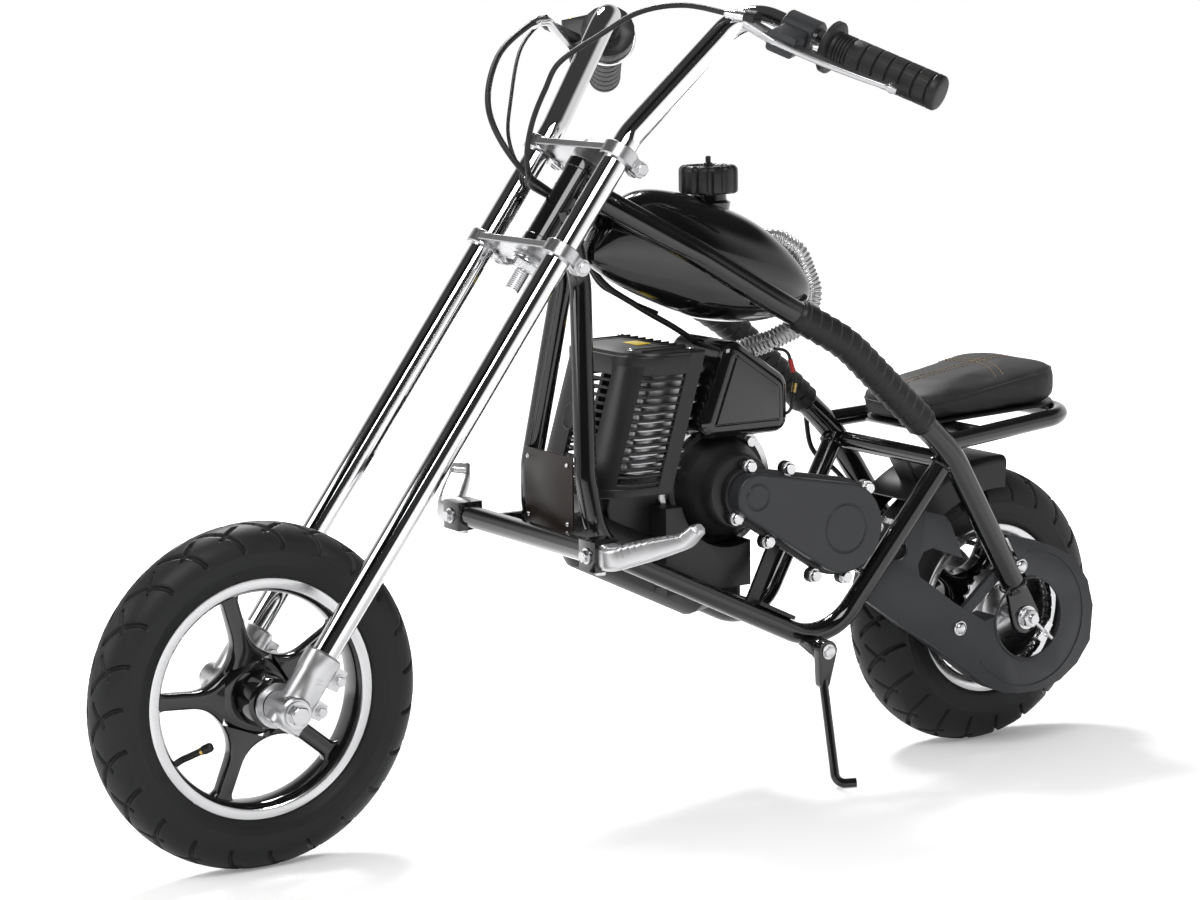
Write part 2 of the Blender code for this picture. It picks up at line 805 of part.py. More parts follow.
def cast_wheel(name, centre, rim_radius, rim_depth, half_width, hub_radius, hub_half, spoke, turn, finish,
               body):
    """Rim with a sunk well, hub with an axle bore, and tapered spokes."""
    inner = rim_radius - rim_depth
    rim = turned(
        name,
        centre,
        ACROSS,
        [
            (-half_width, inner),
            (-half_width, rim_radius),
            (-half_width + RIM_LIP, rim_radius),
            (-half_width + RIM_LIP, rim_radius - WELL_DEPTH / 2),
            (half_width - RIM_LIP, rim_radius - WELL_DEPTH / 2),
            (half_width - RIM_LIP, rim_radius),
            (half_width, rim_radius),
            (half_width, inner),
            (-half_width, inner),
        ],
        WHEEL_STEPS,
    )
    hub = turned("hub", centre, ACROSS, [(-hub_half, hub_radius), (hub_half, hub_radius)])
    width, depth = spoke
    half = ACROSS * depth / 2
    web = rod("web", centre - half, centre + half, hub_radius * HUB_WEB_SHARE, ROUND_STEPS)
    spokes = [web]
    for count in range(SPOKE_COUNT):
        angle = turn + count * 2 * math.pi / SPOKE_COUNT
        out = place(math.cos(angle), 0, math.sin(angle))
        aside = np.cross(out, ACROSS)
        root = hub_radius * HUB_WEB_SHARE - rim_depth
        reach = inner + rim_depth / 3
        rows = []
        for share, along in SPOKE_SHARES:
            middle = centre + out * (root + along * (reach - root))
            for a, b in ((-1, -1), (1, -1), (1, 1), (-1, 1)):
                rows.append(middle + aside * share * width * a / 2 + half * b)
        spokes.append(solid("spoke", rows, skin(4, len(SPOKE_SHARES))))
    fuse(rim, hub, *spokes)
    reach = hub_half + OVERRUN
    bore = rod("bore", centre - ACROSS * reach, centre + ACROSS * reach, AXLE_RADIUS + SEAT_GAP)
    return keep(carve(rim, bore), finish, body)


tyre("front_tyre", front_axle, FRONT_RADIUS, FRONT_SECTION, FRONT_RIM_RADIUS, front_wheel)
tyre("rear_tyre", rear_axle, REAR_RADIUS, REAR_SECTION, REAR_RIM_RADIUS, rear_wheel)
cast_wheel(
    "front_wheel",
    front_axle,
    FRONT_RIM_RADIUS,
    FRONT_RIM_DEPTH,
    FRONT_RIM_HALF_WIDTH,
    FRONT_HUB_RADIUS,
    FRONT_HUB_HALF_WIDTH,
    (FRONT_SPOKE_WIDTH, FRONT_SPOKE_DEPTH),
    FRONT_SPOKE_TURN,
    GLOSS_BLACK,
    front_wheel,
)
cast_wheel(
    "rear_wheel",
    rear_axle,
    REAR_RIM_RADIUS,
    REAR_RIM_DEPTH,
    REAR_RIM_HALF_WIDTH,
    REAR_HUB_RADIUS,
    REAR_HUB_HALF_WIDTH,
    (REAR_SPOKE_WIDTH, REAR_SPOKE_DEPTH),
    REAR_SPOKE_TURN,
    GLOSS_BLACK,
    rear_wheel,
)


def axle(name, centre, half_span, body):
    """A threaded axle with a nut outside each of the plates or lugs that hold it."""
    tail = half_span + AXLE_NUT_DEPTH + AXLE_RADIUS
    made = rod(name, centre - ACROSS * tail, centre + ACROSS * tail, AXLE_RADIUS)
    for side in (-1, 1):
        near = centre + ACROSS * side * half_span
        far = near + ACROSS * side * AXLE_NUT_DEPTH
        fuse(made, rod("nut", near, far, AXLE_NUT_RADIUS, NUT_SIDES))
    return keep(made, ZINC, body)


# Frame
MAIN_PATH = [
    on_steer(LOWER_CLAMP + MAIN_TOP_SHARE * HEAD_LENGTH, MAIN_TOP_Y),
    place(TANK_FLANK_X, TANK_FLANK_Y, TANK_FLANK_Z),
    place(TANK_REAR_X, TANK_REAR_Y, TANK_REAR_Z),
    place(KNEE_X, MAIN_HALF_SPREAD, KNEE_Z),
    place(SEAT_STAY_X, MAIN_HALF_SPREAD, SEAT_STAY_Z),
    place(DROPOUT_TUBE_X, DROPOUT_Y, DROPOUT_TUBE_Z),
]
CRADLE_PATH = [
    on_steer(LOWER_CLAMP + DOWN_TOP_SHARE * HEAD_LENGTH, DOWN_TOP_Y),
    place(DOWN_NECK_X, DOWN_NECK_Y, DOWN_NECK_Z),
    place(DOWN_FOOT_X, DOWN_FOOT_Y, DOWN_FOOT_Z),
    place(RAIL_FRONT_X, RAIL_HALF_SPREAD, RAIL_FRONT_Z),
    place(RAIL_REAR_X, RAIL_HALF_SPREAD, RAIL_REAR_Z),
    place(RAIL_END_X, RAIL_END_Y, RAIL_END_Z),
]


def main_path(side):
    return bend(mirrored(MAIN_PATH, side), MAIN_BEND)


def cradle_path(side):
    return bend(mirrored(CRADLE_PATH, side), CRADLE_BEND)


def head_cutter():
    low = on_steer(LOWER_CLAMP - OVERRUN)
    return rod("cutter", low, on_steer(UPPER_CLAMP + OVERRUN), HEAD_TUBE_RADIUS + SEAT_GAP, ROUND_STEPS)


def fat(path, radius):
    return tube("cutter", path, radius + SEAT_GAP)


def head_tube():
    low = LOWER_CLAMP + CLAMP_THICKNESS / 2 + HEAD_CLEARANCE
    high = UPPER_CLAMP - CLAMP_THICKNESS / 2 - HEAD_CLEARANCE
    made = rod("head_tube", on_steer(low), on_steer(high), HEAD_TUBE_RADIUS, ROUND_STEPS)
    ends = (on_steer(low - OVERRUN), on_steer(high + OVERRUN))
    bore = rod("bore", *ends, STEM_RADIUS + 2 * SEAT_GAP, ROUND_STEPS)
    keep(carve(made, bore), GLOSS_BLACK, bike)


def main_tube(name, side):
    made = tube(name, main_path(side), MAIN_RADIUS)
    plate = slab(
        "plate",
        hull_of_circles(
            [
                (DROPOUT_TUBE_X, DROPOUT_TUBE_Z, MAIN_RADIUS),
                (rear_axle[0], rear_axle[2], DROPOUT_RADIUS),
            ],
            SMALL_STEPS,
        ),
        side * DROPOUT_Y - DROPOUT_THICKNESS / 2,
        side * DROPOUT_Y + DROPOUT_THICKNESS / 2,
    )
    fuse(made, plate)
    reach = ACROSS * (DROPOUT_THICKNESS + OVERRUN)
    eye = rear_axle + ACROSS * side * DROPOUT_Y
    carve(made, rod("bore", eye - reach, eye + reach, AXLE_RADIUS + SEAT_GAP), head_cutter())
    keep(made, GLOSS_BLACK, bike)


def cradle_tube(name, side):
    made = tube(name, cradle_path(side), DOWN_RADIUS)
    carve(made, head_cutter(), fat(main_path(side), MAIN_RADIUS))
    keep(made, GLOSS_BLACK, bike)


def peg_bar():
    """Cross tube with a square lug at each end and a stay back to each cradle tube."""
    middle = place(PEG_BAR_X, 0, PEG_BAR_Z)
    half = ACROSS * PEG_BAR_HALF
    made = rod("peg_bar", middle - half, middle + half, PEG_BAR_RADIUS, TUBE_SIDES)
    for side in (-1, 1):
        lug = block("lug", middle + half * side, (PEG_LUG, PEG_LUG, PEG_LUG))
        foot = place((PEG_BAR_X + RAIL_FRONT_X) / 2, side * RAIL_HALF_SPREAD, PEG_BAR_Z)
        stay = block("stay", foot, (PEG_BAR_X - RAIL_FRONT_X, BAR_STAY_THICKNESS, BAR_STAY_HEIGHT))
        fuse(made, lug, stay)
    for side in (-1, 1):
        carve(made, fat(cradle_path(side), DOWN_RADIUS))
    keep(made, GLOSS_BLACK, bike)


def peg(name, side):
    """A cast foot peg that starts at its lug and sweeps out, up and back."""
    root = place(PEG_BAR_X, side * (PEG_BAR_HALF + PEG_LUG / 2 + SEAT_GAP), PEG_BAR_Z)
    along = unit(ACROSS * side * math.cos(PEG_SWEEP) - place(math.sin(PEG_SWEEP), 0, -math.sin(PEG_RISE)))
    neck = root + ACROSS * side * PEG_RADIUS
    path = [root, neck, neck + along * PEG_LENGTH]
    keep(sweep(name, path, np.array(PEG_RING_SHARES) * 2 * PEG_RADIUS), ALLOY, bike)


def front_plate():
    front = max(point[0] for point in cradle_path(1)) + DOWN_RADIUS
    made = block("front_plate", place(front, 0, PLATE_Z), (PLATE_THICKNESS, PLATE_WIDTH, PLATE_HEIGHT))
    for side in (-1, 1):
        carve(made, fat(cradle_path(side), DOWN_RADIUS))
    keep(made, PLATE_BROWN, bike)


def seat_loop():
    """U-shaped tube round the seat's back, with a tube between its sides under the pan's front."""
    corner = place(SEAT_LOOP_REAR_X, SEAT_LOOP_HALF, SEAT_LOOP_REAR_Z)
    start = place(SEAT_LOOP_FRONT_X, MAIN_HALF_SPREAD, SEAT_LOOP_FRONT_Z)
    points = [start, corner, *mirrored([corner], -1), *mirrored([start], -1)]
    made = tube("seat_loop", bend(points, SEAT_LOOP_BEND), SEAT_LOOP_RADIUS)
    ends = (SEAT_LOOP_REAR_X, SEAT_LOOP_FRONT_X)
    half = np.interp(SEAT_STRAP_X, ends, (SEAT_LOOP_HALF, MAIN_HALF_SPREAD))
    strap_ends = [on_seat(SEAT_STRAP_X, side * half, -SEAT_LOOP_RADIUS) for side in (-1, 1)]
    fuse(made, rod("strap", *strap_ends, SEAT_LOOP_RADIUS, TUBE_SIDES))
    for side in (-1, 1):
        carve(made, fat(main_path(side), MAIN_RADIUS))
    keep(made, GLOSS_BLACK, bike)


def x_at_height(path, height):
    """Where a path that runs down to the back passes the given height."""
    path = np.asarray(path)[::-1]
    return np.interp(height, path[:, 2], path[:, 0])


def cross_tube_middle():
    return place(x_at_height(main_path(1), CROSS_TUBE_Z), 0, CROSS_TUBE_Z)


def cross_tube():
    reach = ACROSS * MAIN_HALF_SPREAD
    ends = [cross_tube_middle() - reach, cross_tube_middle() + reach]
    made = rod("cross_tube", *ends, SEAT_LOOP_RADIUS, TUBE_SIDES)
    for side in (-1, 1):
        carve(made, fat(main_path(side), MAIN_RADIUS), fat(cradle_path(side), DOWN_RADIUS))
    keep(made, GLOSS_BLACK, bike)


def stretch_of(path, start_share, end_share):
    """The part of a path between two shares of its length."""
    path = np.asarray(path)
    steps = np.concatenate([[0], np.cumsum(np.linalg.norm(np.diff(path, axis=0), axis=1))])
    ends = np.array([start_share, end_share]) * steps[-1]
    inside = steps[(steps > ends[0] + MAIN_RADIUS) & (steps < ends[1] - MAIN_RADIUS)]
    stops = np.concatenate([ends[:1], inside, ends[1:]])
    return np.column_stack([np.interp(stops, steps, path[:, i]) for i in range(3)])


def tube_wrap(name, side):
    path = stretch_of(main_path(side), WRAP_START_SHARE, WRAP_END_SHARE)
    made = tube(name, path, WRAP_RADIUS)
    keep(carve(made, fat(main_path(side), MAIN_RADIUS)), WRAP, bike)


head_tube()
for word, side in (("left", 1), ("right", -1)):
    main_tube("main_tube_" + word, side)
    cradle_tube("cradle_tube_" + word, side)
    tube_wrap("tube_wrap_" + word, side)
    peg("foot_peg_" + word, side)
peg_bar()
front_plate()
seat_loop()
cross_tube()
axle("rear_axle", rear_axle, DROPOUT_Y + DROPOUT_THICKNESS / 2 + SEAT_GAP, bike)


# Fork
def fork_path(side):
    points = [
        on_fork(FORK_FOOT, FORK_HALF_SPREAD),
        on_fork(FORK_KNEE, FORK_HALF_SPREAD),
        place(BAR_TOP_X, BAR_TOP_Y, BAR_TOP_Z),
        place(BAR_END_X, BAR_END_Y, BAR_END_Z),
    ]
    return bend(mirrored(points, side), BAR_TOP_BEND)


def grip_line(side):
    """The bar's end in the grip, and the unit vector from there back along the bar."""
    end = mirrored([place(BAR_END_X, BAR_END_Y, BAR_END_Z)], side)[0]
    top = mirrored([place(BAR_TOP_X, BAR_TOP_Y, BAR_TOP_Z)], side)[0]
    return end, unit(top - end)


def fork_bar(name, side):
    keep(tube(name, fork_path(side), FORK_RADIUS), CHROME, steering)


def clamp(name, up):
    """Plate across both fork tubes with a collar round each and a bolt behind it."""
    back = STEER_SETBACK - FORK_SETBACK
    centre = on_fork(up, 0)
    waist = CLAMP_COLLAR * CLAMP_WAIST_SHARE
    sides = [(FORK_HALF_SPREAD, 0, waist), (-FORK_HALF_SPREAD, 0, waist)]
    plate = hull_of_circles([*sides, (0, -back, HEAD_TUBE_RADIUS)], SMALL_STEPS)
    rows = [
        centre + ACROSS * a + FORK_AHEAD * b + FORK_UP * h
        for h in (-CLAMP_THICKNESS / 2, CLAMP_THICKNESS / 2)
        for a, b in plate
    ]
    made = solid(name, rows, skin(len(plate), 2))
    for side in (-1, 1):
        ring = on_fork(up, side * FORK_HALF_SPREAD)
        half = FORK_UP * CLAMP_COLLAR_HEIGHT / 2
        fuse(made, rod("collar", ring - half, ring + half, CLAMP_COLLAR, ROUND_STEPS))
        start = ring - FORK_AHEAD * waist
        end = start - FORK_AHEAD * CLAMP_BOLT_REACH
        fuse(made, rod("bolt", start, end, CLAMP_BOLT_RADIUS, NUT_SIDES))
        carve(made, fat(fork_path(side), FORK_RADIUS))
    return made


def steering_clamps():
    """The lower clamp carries the stem; the upper clamp sits over it under a nut."""
    lower = clamp("lower_clamp", LOWER_CLAMP)
    tail = LOWER_CLAMP - CLAMP_THICKNESS / 2 - STEM_NUT_DEPTH
    top = UPPER_CLAMP + CLAMP_THICKNESS / 2 + STEM_NUT_DEPTH
    stem = rod("stem", on_steer(tail - STEM_BOLT_TAIL / 2), on_steer(top), STEM_RADIUS, ROUND_STEPS)
    nut = rod("nut", on_steer(tail), on_steer(LOWER_CLAMP), STEM_NUT_RADIUS, NUT_SIDES)
    keep(fuse(lower, stem, nut), ALLOY, steering)
    upper = clamp("upper_clamp", UPPER_CLAMP)
    ends = (on_steer(UPPER_CLAMP - OVERRUN), on_steer(UPPER_CLAMP + OVERRUN))
    bore = rod("bore", *ends, STEM_RADIUS + SEAT_GAP, ROUND_STEPS)
    keep(carve(upper, bore), ALLOY, steering)


def axle_lug(name, side):
    """Cast foot that grips the fork tube above and holds the axle below."""
    foot = on_fork(-LUG_EYE_RADIUS, side * FORK_HALF_SPREAD)
    made = rod(name, foot, on_fork(LUG_TOP, side * FORK_HALF_SPREAD), LUG_RADIUS, ROUND_STEPS)
    carve(made, fat(fork_path(side), FORK_RADIUS))
    eye = front_axle + ACROSS * side * FORK_HALF_SPREAD
    reach = ACROSS * (LUG_RADIUS + OVERRUN)
    keep(carve(made, rod("bore", eye - reach, eye + reach, AXLE_RADIUS + SEAT_GAP)), ALLOY, steering)


def grip(name, side):
    """Ribbed rubber grip, closed over the bar's end, with a flange on its inner side."""
    end, inward = grip_line(side)
    profile = [(-GRIP_FLANGE_DEPTH, 0), (-GRIP_FLANGE_DEPTH, GRIP_RADIUS)]
    pitch = (GRIP_LENGTH - GRIP_FLANGE_DEPTH) / GRIP_RIBS
    for rib in range(GRIP_RIBS):
        start = rib * pitch
        profile += [(start, GRIP_RADIUS), (start + pitch * GRIP_RIB_SHARE, GRIP_RADIUS)]
        profile += [(start + pitch * GRIP_GROOVE_SHARE, GRIP_RADIUS - GRIP_RIB_DEPTH)]
    inner = GRIP_LENGTH - GRIP_FLANGE_DEPTH
    profile += [(inner, GRIP_FLANGE_RADIUS), (GRIP_LENGTH, GRIP_FLANGE_RADIUS), (GRIP_LENGTH, 0)]
    made = turned(name, end, inward, profile, SMALL_STEPS)
    keep(carve(made, fat(fork_path(side), FORK_RADIUS)), RUBBER, steering)


def bar_ahead(inward):
    """The unit vector that points ahead, square to a bar's straight end."""
    return unit(place(1, 0, 0) - inward * inward[0])


def brake_lever():
    """Perch round the left bar beside the grip, and the blade that reaches out ahead of the grip."""
    end, inward = grip_line(1)
    ahead = bar_ahead(inward)
    start = end + inward * (GRIP_LENGTH + PERCH_GAP)
    made = rod("brake_lever", start, start + inward * PERCH_LENGTH, PERCH_RADIUS, ROUND_STEPS)
    middle = start + inward * PERCH_LENGTH / 2
    pivot = middle + ahead * LEVER_STANDOFF
    post_size = np.array(PERCH_POST_SHARES) * PERCH_LENGTH
    square = np.array([(-1, -1), (1, -1), (1, 1), (-1, 1)]) / 2
    post = sweep("post", [middle, pivot + ahead * LEVER_WIDTH / 2], square * post_size)
    blade = sweep(
        "blade",
        [pivot + inward * PERCH_LENGTH / 2, pivot, pivot - inward * LEVER_LENGTH],
        square * (LEVER_WIDTH, LEVER_THICKNESS),
    )
    adjuster = rod("adjuster", pivot, socket(BRAKE_CABLE_PATH), ADJUSTER_RADIUS)
    fuse(made, post, blade, adjuster)
    bore = fat(lead_path(BRAKE_CABLE_PATH), BRAKE_CABLE_RADIUS)
    keep(carve(made, bore, fat(fork_path(1), FORK_RADIUS)), ALLOY, steering)


def throttle_housing():
    """Drum round the right bar beside the grip, with the switch box ahead of it."""
    end, inward = grip_line(-1)
    ahead = bar_ahead(inward)
    start = end + inward * (GRIP_LENGTH + SEAT_GAP)
    far = start + inward * THROTTLE_LENGTH
    made = rod("throttle_housing", start, far, THROTTLE_RADIUS, ROUND_STEPS)
    middle = start + inward * THROTTLE_LENGTH / 2 + ahead * THROTTLE_RADIUS
    axes = (ahead, inward, np.cross(ahead, inward))
    fuse(made, block("box", middle, (SWITCH_DEPTH, SWITCH_WIDTH, SWITCH_HEIGHT), axes))
    leads = ((THROTTLE_CABLE_PATH, THROTTLE_CABLE_RADIUS), (SWITCH_WIRE_PATH, SWITCH_WIRE_RADIUS))
    for points, radius in leads:
        fuse(made, rod("socket", middle, socket(points), ADJUSTER_RADIUS))
    for points, radius in leads:
        carve(made, fat(lead_path(points), radius))
    keep(carve(made, fat(fork_path(-1), FORK_RADIUS)), BLACK_PLASTIC, steering)


def lead_path(points):
    return [place(*point) for point in points]


def lead(name, path, radius, body):
    """A covered cable along its route."""
    keep(sweep(name, path, circle(radius, CABLE_SIDES)), RUBBER, body)


def socket(points):
    """The end piece that a cable comes out of, from a place inside its holder."""
    near, far = lead_path(points[:2])
    return near + unit(far - near) * 2 * ADJUSTER_RADIUS


def handlebar_leads():
    """The brake's and the throttle's cables and the switch's wire, down to the front of the head tube."""
    lead("brake_cable", lead_path(BRAKE_CABLE_PATH), BRAKE_CABLE_RADIUS, steering)
    lead("throttle_cable", lead_path(THROTTLE_CABLE_PATH), THROTTLE_CABLE_RADIUS, steering)
    lead("switch_wire", lead_path(SWITCH_WIRE_PATH), SWITCH_WIRE_RADIUS, steering)


def rear_brake_path():
    """Along the right main tube's outer side, round its front and down into the caliper."""
    middle = main_path(-1)
    clear = WRAP_RADIUS + BRAKE_CABLE_RADIUS + SEAT_GAP
    outwards = -ACROSS * clear
    run = stretch_of(middle, BRAKE_RUN_START_SHARE, BRAKE_RUN_END_SHARE)
    turn = stretch_of(middle, BRAKE_RUN_END_SHARE, BRAKE_CROSS_SHARE)
    forwards = unit(np.cross(turn[-1] - turn[0], ACROSS)) * clear
    end = caliper_middle() - ACROSS * CALIPER_WIDTH * BRAKE_CABLE_END_SHARE
    corner = (turn[0] + turn[-1]) / 2 + outwards + forwards
    return [*(run + outwards), corner, turn[-1] + forwards, end]


def frame_leads():
    """The throttle's cable on to the air box, and the brake's to the caliper."""
    lead("engine_cable", lead_path(ENGINE_CABLE_PATH), THROTTLE_CABLE_RADIUS, bike)
    lead("rear_brake_cable", rear_brake_path(), BRAKE_CABLE_RADIUS, bike)


for word, side in (("left", 1), ("right", -1)):
    fork_bar("fork_bar_" + word, side)
    axle_lug("axle_lug_" + word, side)
    grip("grip_" + word, side)
brake_lever()
throttle_housing()
steering_clamps()
axle("front_axle", front_axle, FORK_HALF_SPREAD + LUG_RADIUS + SEAT_GAP, steering)


# Tank
def tank_shape(name, grow):
    """Teardrop lofted through rounded sections that are square to the bike's length."""
    angles = np.arange(TANK_SIDES) * 2 * math.pi / TANK_SIDES
    power = 2 / TANK_SQUARENESS
    across = np.sign(np.cos(angles)) * np.abs(np.cos(angles)) ** power
    rise = np.sign(np.sin(angles)) * np.abs(np.sin(angles)) ** power
    rows = []
    for along, top, bottom, wide in TANK_SHARES:
        x = TANK_FRONT_X - along * TANK_LENGTH + grow * (1 - 2 * along)
        middle = TANK_LOW_Z + TANK_HEIGHT * (top + bottom) / 2
        half = TANK_HEIGHT * (top - bottom) / 2 + grow
        side = across * (wide * TANK_HALF_WIDTH + grow)
        rows.append(np.stack([np.full(TANK_SIDES, x), side, middle + rise * half], 1))
    return solid(name, np.vstack(rows), skin(TANK_SIDES, len(rows)))


def fuel_tank():
    """The tank with its filler neck and a lug out to each main tube."""
    made = tank_shape("fuel_tank", 0)
    fuse(made, rod("neck", cap_seat(-2), cap_seat(1), TANK_NECK_RADIUS, ROUND_STEPS))
    inner = TANK_HALF_WIDTH * TANK_LUG_SHARE
    for side in (-1, 1):
        centre = place(TANK_REAR_X, side * (inner + TANK_REAR_Y) / 2, TANK_REAR_Z)
        fuse(made, block("lug", centre, (TANK_LUG_LENGTH, TANK_REAR_Y - inner, TANK_LUG_THICKNESS)))
        carve(made, fat(main_path(side), MAIN_RADIUS))
    keep(made, GLOSS_BLACK, bike)


def hose_path():
    return bend([place(*point) for point in TANK_HOSE_PATH], 2 * TANK_HOSE_RADIUS)


def tank_hose():
    """Ribbed hose round the tank's back, from the tank's top down into the air box."""
    made = tube("tank_hose", hose_path(), TANK_HOSE_RADIUS)
    keep(carve(made, tank_shape("cutter", SEAT_GAP)), ZINC, bike)


def cap_seat(necks):
    """A place on the filler's axis, counted in neck heights from the tank's top."""
    along = (TANK_FRONT_X - CAP_X) / TANK_LENGTH
    shares = np.array(TANK_SHARES)
    top = TANK_LOW_Z + TANK_HEIGHT * np.interp(along, shares[:, 0], shares[:, 1])
    return place(CAP_X, 0, top + necks * TANK_NECK_HEIGHT)


def tank_cap():
    low = cap_seat(1) + place(0, 0, SEAT_GAP)
    high = low + place(0, 0, CAP_HEIGHT)
    made = rod("tank_cap", low, high, CAP_RADIUS, 2 * ROUND_STEPS)
    for flute in range(CAP_FLUTES):
        angle = flute * 2 * math.pi / CAP_FLUTES
        aside = place(math.cos(angle), math.sin(angle), 0) * (CAP_RADIUS + CAP_FLUTE_RADIUS / 2)
        lift = place(0, 0, OVERRUN)
        carve(made, rod("flute", low - lift + aside, high + lift + aside, CAP_FLUTE_RADIUS))
    vent = rod("vent", high - place(0, 0, CAP_HEIGHT / 2), high + place(0, 0, VENT_HEIGHT), VENT_RADIUS)
    keep(fuse(made, vent), BLACK_PLASTIC, bike)


def seat_outline(inset):
    """The seat's plan: a narrow round nose and a wider back."""
    front = SEAT_FRONT_X - inset
    back = SEAT_REAR_X + inset
    nose = SEAT_NOSE_HALF_WIDTH - inset
    half = SEAT_HALF_WIDTH - inset
    nose_round = nose * SEAT_NOSE_ROUND_SHARE
    back_round = half * SEAT_CORNER_SHARE
    corners = (
        (front - nose_round, nose - nose_round, nose_round),
        (back + back_round, half - back_round, back_round),
        (back + back_round, back_round - half, back_round),
        (front - nose_round, nose_round - nose, nose_round),
    )
    points = []
    for quarter, (x, y, radius) in enumerate(corners):
        for angle in (quarter + np.linspace(0, 1, BEND_STEPS + 1)) * math.pi / 2:
            points.append((x + radius * math.cos(angle), y + radius * math.sin(angle)))
    return np.array(points)


def cushion(name, low, layers):
    """A solid over the seat loop through outlines drawn in by an inset, thinner towards the nose."""
    rows = []
    for inset, rise in layers:
        outline = seat_outline(inset)
        share = np.interp(outline[:, 0], (SEAT_LOOP_REAR_X, SEAT_FRONT_X), (1, SEAT_NOSE_SHARE))
        rows += [on_seat(x, y, low + rise * s) for (x, y), s in zip(outline, share)]
    return solid(name, rows, skin(len(rows) // len(layers), len(layers)))


def seat():
    """The pan on the seat loop, and the cushion with its rounded edges on the pan."""
    pan_layers = [(SEAT_PAN_INSET, 0), (SEAT_PAN_INSET, SEAT_PAN_THICKNESS)]
    keep(cushion("seat_pan", SEAT_GAP, pan_layers), BLACK_PLASTIC, bike)
    low = SEAT_PAN_THICKNESS
    high = low + SEAT_THICKNESS
    layers = [
        (SEAT_CROWN, low),
        (0, low + SEAT_CROWN),
        (0, high - 2 * SEAT_CROWN),
        (SEAT_CROWN, high - SEAT_CROWN / 2),
        (3 * SEAT_CROWN, high),
    ]
    keep(cushion("seat", 2 * SEAT_GAP, layers), SEAT_COVER, bike)


def arch(angles, low, high):
    """The outline of a band round the rear axle between two radii."""
    rim = [(high * math.cos(a), rear_axle[2] + high * math.sin(a)) for a in angles]
    return rim + [(low * math.cos(a), rear_axle[2] + low * math.sin(a)) for a in angles[::-1]]


def rear_fender():
    """Curved guard over the tyre with a skirt down each side, and the tab that meets the cross tube."""
    angles = np.linspace(FENDER_START, FENDER_END, 2 * BEND_STEPS)
    inner = REAR_RADIUS + FENDER_GAP
    outer = inner + FENDER_THICKNESS
    half = FENDER_WIDTH / 2
    outside = half + FENDER_THICKNESS
    made = slab("rear_fender", arch(angles, FENDER_SKIRT_RADIUS, outer), -outside, outside)
    spare = OVERRUN / inner
    wide = np.linspace(FENDER_START - spare, FENDER_END + spare, 2 * BEND_STEPS)
    carve(made, slab("hollow", arch(wide, FENDER_SKIRT_RADIUS - OVERRUN, inner), -half, half))
    middle = cross_tube_middle()
    out = unit(middle - rear_axle)
    foot = rear_axle + out * inner
    size = (np.linalg.norm(middle - foot), FENDER_TAB_WIDTH, 2 * FENDER_THICKNESS)
    fuse(made, block("tab", (foot + middle) / 2, size, (out, ACROSS, np.cross(out, ACROSS))))
    reach = ACROSS * FENDER_WIDTH
    seat_cutter = rod("seat", middle - reach, middle + reach, SEAT_LOOP_RADIUS + SEAT_GAP)
    keep(carve(made, seat_cutter), BLACK_PLASTIC, bike)


# Engine
CRANK = place(CRANK_X, 0, CRANK_Z)


def case_outline(grow):
    circles = [
        (CRANK_X, CRANK_Z, CASE_RADIUS + grow),
        (CASE_FRONT_X, CASE_FRONT_Z, CASE_FRONT_RADIUS + grow),
    ]
    return hull_of_circles(circles)


def case_cutter():
    """The crankcase with a seat's gap all round, for the pieces that lie against it."""
    return slab("cutter", case_outline(SEAT_GAP), CASE_RIGHT_Y - OVERRUN, CASE_LEFT_Y + SEAT_GAP)


def clutch_cutter(far):
    """Room for the clutch's flange, from the crankcase out to a given Y."""
    radius = CLUTCH_FLANGE_RADIUS + SEAT_GAP
    return rod("cutter", CRANK + ACROSS * CASE_LEFT_Y, CRANK + ACROSS * far, radius, 2 * ROUND_STEPS)


def crankcase():
    made = slab("crankcase", case_outline(0), CASE_RIGHT_Y, CASE_LEFT_Y)
    keep(made, SATIN_BLACK, bike)


def fin_middle(fin):
    """The middle of a fin of the leaning cylinder, counted from below."""
    rise = FIN_PITCH * (fin + 1) - FIN_THICKNESS / 2
    return place(CYLINDER_X - math.tan(COWL_TILT) * rise, CYLINDER_Y, CYLINDER_LOW_Z + rise)


def cylinder():
    """Square cooling fins on a core, one closed stack."""
    corners = np.array([(1, 1), (-1, 1), (-1, -1), (1, -1)]) / 2
    layers = []
    for fin in range(FIN_COUNT):
        low = FIN_PITCH * fin
        over = low + FIN_PITCH
        under = over - FIN_THICKNESS
        core = ((CYLINDER_CORE, low), (CYLINDER_CORE, under))
        wide = ((CYLINDER_WIDTH, under), (CYLINDER_WIDTH, over))
        for width, rise in core + wide:
            middle = (CYLINDER_X - math.tan(COWL_TILT) * rise, CYLINDER_Y)
            layers.append((corners * width + middle, CYLINDER_LOW_Z + rise))
    keep(carve(layered("cylinder", layers), case_cutter()), ALLOY, bike)


def cowl_outline(inset):
    """The cooling cowl's plan, open at its back: the front corners are rounded."""
    front = COWL_FRONT_X - inset
    left = COWL_LEFT_Y - inset
    right = COWL_RIGHT_Y + inset
    radius = COWL_ROUND - inset
    points = [(COWL_BACK_X, left)]
    quarter = math.pi / 2
    for x, y, start in ((front - radius, left - radius, quarter), (front - radius, right + radius, 0)):
        for step in range(BEND_STEPS + 1):
            angle = start - step / BEND_STEPS * quarter
            points.append((x + radius * math.cos(angle), y + radius * math.sin(angle)))
    points.append((COWL_BACK_X, right))
    return points


